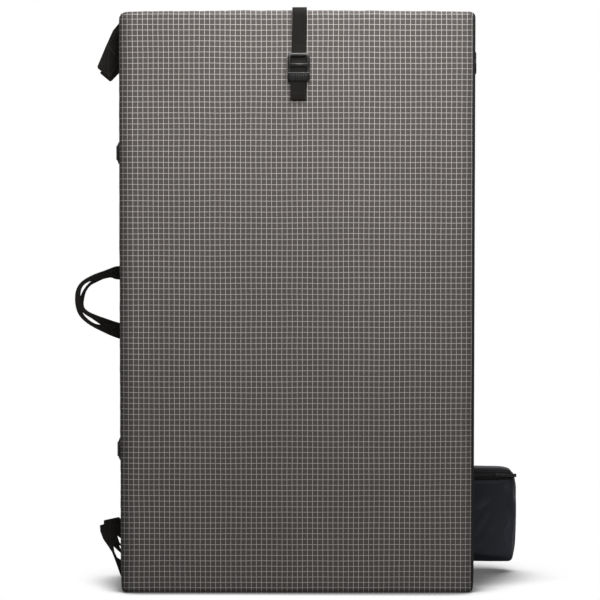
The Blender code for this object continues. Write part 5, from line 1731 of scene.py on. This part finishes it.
class OBJECT_OT_crash_pad_harness(bpy.types.Operator):
    """Pad the shoulder straps and the hip belt, and bind their edges"""

    bl_idname = "object.crash_pad_harness"
    bl_label = "Harness Padding"

    def execute(self, context):
        settings = context.scene.crash_pad_padding
        finish = (padded_mesh(settings),
                  webbing_cloth(context.scene.crash_pad_webbing, "edge_binding", 0.014),
                  settings.swell)
        for hand in HANDS:
            self.shoulder(f"{hand}_shoulder_pad", finish)
        self.belt_base(finish)
        for hand in HANDS:
            self.wing(f"{hand}_belt_wing", hand == "right", finish)
        return {"FINISHED"}

    def pad(self, node, path, normals, across, widths, thick, finish):
        """One swelled pad with its bound edge, in the place of a CAD node."""
        material, binding, most = finish
        cap = min(most, thick * 0.3)
        mesh, borders, outline = cushion_mesh(path, normals, across, widths,
                                              thick - 1.6 * cap)
        obj = stand_in(node, "pad", mesh, material, "padded_mesh")
        swell(obj, cap * np.clip(borders / 0.010, 0.02, 1))
        subdivided(obj)
        edge = binding_mesh(outline, normals[len(normals) // 2])
        make_piece(f"{node}_binding", edge, binding, NODES[node]["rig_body"], "webbing")

    def shoulder(self, node, finish):
        """A strap that bows out from the back and is broadest where it bows most."""
        low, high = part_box(node)
        share = np.linspace(0, 1, 80)
        bow = np.sin(math.pi * share) ** 2
        reach = HALF_THICKNESS + CROWN + 0.018 + 0.050 * bow
        path = np.stack([np.full(80, (low.x + high.x) / 2), SPLIT_Y + reach,
                         high.z - (high.z - low.z) * share], axis=1)
        normals = np.cross(directions(path), unit(0))
        widths = 0.038 + (0.062 - 0.038) * np.clip(bow, 0, 1) ** 0.25
        widths[0] = widths[-1] = 0.036
        self.pad(node, path, normals, unit(0), widths - 0.003, SHOULDER_THICK, finish)

    def belt_base(self, finish):
        low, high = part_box("belt_base")
        y, z = (low.y + high.y) / 2, (low.z + high.z) / 2
        path = np.array([(x, y, z)
                         for x in np.linspace(low.x + 0.0015, high.x - 0.0015, 26)])
        widths = np.full(len(path), high.z - low.z - 0.003)
        self.pad("belt_base", path, np.tile(unit(1), (len(path), 1)), unit(2), widths,
                 BELT_THICK, finish)

    def wing(self, node, outer_last, finish):
        """A belt wing along the middle of its solid, narrower at its outer end."""
        middle, low, high = middle_of(node, 2, BELT_THICK)
        if middle[0][0] > middle[-1][0]:
            middle = middle[::-1]
        fine = relaxed(resampled(middle, 0.0045), 3)
        path = np.array([(x, y, (low + high) / 2) for x, y in fine])
        outer = np.linspace(0, 1, len(path))
        if not outer_last:
            outer = 1 - outer
        taper = np.clip((outer - 0.90) / 0.10, 0, 1)
        widths = (high - low - 0.003) * (1 - 0.25 * taper**2)
        self.pad(node, path, np.cross(unit(2), directions(path)), unit(2), widths,
                 BELT_THICK, finish)


class OBJECT_OT_crash_pad_pouch(bpy.types.Operator):
    """Sew the belt pouch with its soft folds"""

    bl_idname = "object.crash_pad_pouch"
    bl_label = "Pouch"

    def execute(self, context):
        settings = context.scene.crash_pad_padding
        low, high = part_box("pouch_body")
        zip_low, zip_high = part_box("pouch_zip_tape")
        ease = 0.0025
        bm = bmesh.new()
        soft_box(bm, (low.x + ease, low.y + ease * 0.4, low.z + 0.0012),
                 (high.x + ease, high.y - ease, high.z + 0.001), 0.0065, 4)
        obj = make_piece("pouch_sewn", unpacked(bm), pouch_nylon(settings), "right_wing",
                         "pouch_nylon", "pouch_body")
        modify(obj, "REMESH", mode="VOXEL", voxel_size=0.0045)
        mesh = applied(obj).data
        self.slope(mesh, low, high)
        self.fold(mesh, low, high, settings.fold_depth)
        _, y, z = coordinates(mesh).T
        by_zip = (np.abs(y - low.y) < 0.004) & (z > zip_low.z - 0.004) & (
            z < zip_high.z + 0.004)
        caps = np.where(by_zip, 0.0002, 0.003)
        caps[z < low.z + 0.004] = 0.0008
        caps[z > high.z - 0.008] = 0.0006
        swell(obj, caps)
        self.press(subdivided(obj).data, low, high, zip_low)
        return {"FINISHED"}

    def slope(self, mesh, low, high):
        """Lets the top fall away towards the outer corner, where nothing holds it up."""
        place = coordinates(mesh)
        u = np.clip((place[:, 0] - low.x) / (high.x - low.x), 0, 1)
        w = np.clip((place[:, 2] - low.z) / (high.z - low.z), 0, 1)
        place[:, 2] -= (0.0035 * u + 0.0045 * np.clip((u - 0.86) / 0.14, 0, 1) ** 2) * w**6
        place[:, 0] -= 0.0035 * np.clip((w - 0.88) / 0.12, 0, 1) ** 2 * u**6
        place[:, 0] -= 0.0042 * fading(w, 0.35) ** 1.3 * u**4
        move_points(mesh, place)

    def fold(self, mesh, low, high, depth):
        """Soft slanting folds, quiet at the top by the zip and near the foot."""
        place = coordinates(mesh)
        w = (place[:, 2] - low.z) / (high.z - low.z)
        slant = place[:, 0] * 0.75 + place[:, 2] * 0.66
        cross = place[:, 2] * 0.75 - place[:, 0] * 0.45
        wave = waves(slant, (0.034, 0.055), 4) * 0.7 + waves(cross, (0.047, 0.08), 6) * 0.5
        away = place - (np.array(low) + np.array(high)) / 2
        away /= np.linalg.norm(away, axis=1)[:, None]
        away[:, 0] *= 0.3
        quiet = np.clip((0.86 - w) / 0.12, 0, 1) * np.clip(w / 0.1, 0.2, 1)
        move_points(mesh, place + away * (wave * depth * quiet)[:, None])

    def press(self, mesh, low, high, zip_low):
        """Keeps the pouch clear of the zip tape in front, the wing behind and the floor."""
        place = coordinates(mesh)
        front = np.where(place[:, 2] > zip_low.z - 0.003, low.y + 0.0001, low.y - 0.0012)
        place[:, 1] = np.minimum(np.maximum(place[:, 1], front), high.y + 0.0001)
        place[:, 2] = np.clip(place[:, 2], low.z - 0.001, high.z + 0.004)
        place[:, 0] = np.clip(place[:, 0], low.x - 0.001, high.x + 0.0045)
        move_points(mesh, place)


# ---------------------------------------------------------------- stage

def floor_material():
    """White for the camera and in reflections, darker where the pad shades the floor."""
    made = Finish("studio_floor", roughness=0.9, colour=(0.14, 0.14, 0.14, 1))
    x, y, _ = made.split(made.place)
    reach = made.times(made.ranged(x, -0.1, 0.28, 0.112, 0.175),
                       made.ranged(y, SPLIT_Y - 0.15, SPLIT_Y + 0.2, 0.25, 2.1))
    covered = made.add("ShaderNodeAmbientOcclusion", {"Distance": reach}, samples=16)
    shade = made.eased(covered.outputs["AO"], 0.42, 0.88, 0.12, 1.0)
    glow = made.add("ShaderNodeEmission", {"Color": made.grey(shade), "Strength": 1.0})
    both = made.add("ShaderNodeMixShader", {0: made.direct_view(), 1: made.shader.outputs[0],
                                            2: glow.outputs[0]})
    made.tree.links.new(both.outputs[0], made.tree.nodes["Material Output"].inputs["Surface"])
    return made.material


class OBJECT_OT_crash_pad_stage(bpy.types.Operator):
    """Set the floor, the soft light and the camera"""

    bl_idname = "object.crash_pad_stage"
    bl_label = "Stage"

    def execute(self, context):
        scene = context.scene
        settings = scene.crash_pad_stage
        mesh = plain_mesh([(-12, -12, 0), (12, -12, 0), (12, 12, 0), (-12, 12, 0)],
                          [(0, 1, 2, 3)])
        mesh.materials.append(floor_material())
        self.placed(scene, "studio_floor", mesh)
        self.surround(scene, settings.fill)
        self.lamp(scene, "front", (0.15, -1.25, 1.5), (0, -0.13, 0.75), settings.key_power,
                  0.9)
        self.lamp(scene, "top", (0.2, -0.55, 2.05), (0, -0.1, 0.8), settings.top_power, 0.8)
        self.lamp(scene, "back", (-0.6, 1.7, 1.6), (0, 0.1, 0.5), settings.back_power, 1.2)
        self.camera(scene, settings)
        scene.view_settings.view_transform = "Standard"
        return {"FINISHED"}

    def placed(self, scene, name, data):
        obj = bpy.data.objects.new(name, data)
        scene.collection.objects.link(obj)
        return obj

    def surround(self, scene, fill):
        """White all round for the camera and in reflections, and a faint even light."""
        scene.world = bpy.data.worlds.new("studio_surround")
        scene.world.use_nodes = True
        sky = Wiring(scene.world.node_tree)
        sky.tree.nodes.clear()
        lights = [sky.add("ShaderNodeBackground", {"Color": (1, 1, 1, 1), "Strength": strength})
                  for strength in (fill, 1.0)]
        both = sky.add("ShaderNodeMixShader", {
            0: sky.direct_view(), 1: lights[0].outputs[0], 2: lights[1].outputs[0]})
        sky.add("ShaderNodeOutputWorld", {"Surface": both.outputs[0]})

    def lamp(self, scene, name, place, target, power, size):
        data = bpy.data.lights.new(name, "AREA")
        data.energy = power
        data.size = size
        lamp = self.placed(scene, name, data)
        lamp.visible_camera = False
        lamp.location = place
        direction = Vector(target) - Vector(place)
        lamp.rotation_euler = direction.to_track_quat("-Z", "Y").to_euler()

    def camera(self, scene, settings):
        data = bpy.data.cameras.new("studio_camera")
        data.sensor_width = 36
        data.lens = settings.lens
        data.clip_end = 100
        camera = self.placed(scene, "studio_camera", data)
        camera.location = (settings.camera_aside,
                           SPLIT_Y - HALF_THICKNESS - settings.camera_distance,
                           settings.camera_height)
        camera.rotation_euler = (math.pi / 2 - settings.camera_pitch, 0, 0)
        scene.camera = camera


# ---------------------------------------------------------------- panel and registration

PIECES = (
    OBJECT_OT_crash_pad_stage,
    OBJECT_OT_crash_pad_covers,
    OBJECT_OT_crash_pad_landing,
    OBJECT_OT_crash_pad_foam,
    OBJECT_OT_crash_pad_hinge,
    OBJECT_OT_crash_pad_straps,
    OBJECT_OT_crash_pad_handles,
    OBJECT_OT_crash_pad_corner_straps,
    OBJECT_OT_crash_pad_hardware,
    OBJECT_OT_crash_pad_zips,
    OBJECT_OT_crash_pad_harness,
    OBJECT_OT_crash_pad_pouch,
)

SETTINGS = {
    "crash_pad_cloth": CrashPadClothSettings,
    "crash_pad_webbing": CrashPadWebbingSettings,
    "crash_pad_hardware": CrashPadHardwareSettings,
    "crash_pad_padding": CrashPadPaddingSettings,
    "crash_pad_stage": CrashPadStageSettings,
}


class VIEW3D_PT_crash_pad(bpy.types.Panel):
    """Sidebar list of the crash pad's settings and pieces"""

    bl_label = "Crash Pad"
    bl_idname = "VIEW3D_PT_crash_pad"
    bl_space_type = "VIEW_3D"
    bl_region_type = "UI"
    bl_category = "Crash Pad"

    def draw(self, context):
        layout = self.layout
        for attribute, group in SETTINGS.items():
            box = layout.box()
            box.label(text=group.__doc__)
            for label in group.__annotations__:
                box.prop(getattr(context.scene, attribute), label)
        column = layout.column(align=True)
        for piece in PIECES:
            column.operator(piece.bl_idname)


def register():
    for group in SETTINGS.values():
        bpy.utils.register_class(group)
    for attribute, group in SETTINGS.items():
        setattr(bpy.types.Scene, attribute, PointerProperty(type=group))
    for piece in PIECES:
        bpy.utils.register_class(piece)
    bpy.utils.register_class(VIEW3D_PT_crash_pad)


def unregister():
    bpy.utils.unregister_class(VIEW3D_PT_crash_pad)
    for piece in reversed(PIECES):
        bpy.utils.unregister_class(piece)
    for attribute in SETTINGS:
        delattr(bpy.types.Scene, attribute)
    for group in reversed(list(SETTINGS.values())):
        bpy.utils.unregister_class(group)


def main():
    register()
    for piece in PIECES:
        group, name = piece.bl_idname.split(".")
        result = getattr(getattr(bpy.ops, group), name)()
        if "FINISHED" not in result:
            raise RuntimeError(f"{piece.bl_label} didn't finish")
    bpy.context.view_layer.update()


if __name__ == "__main__":
    main()
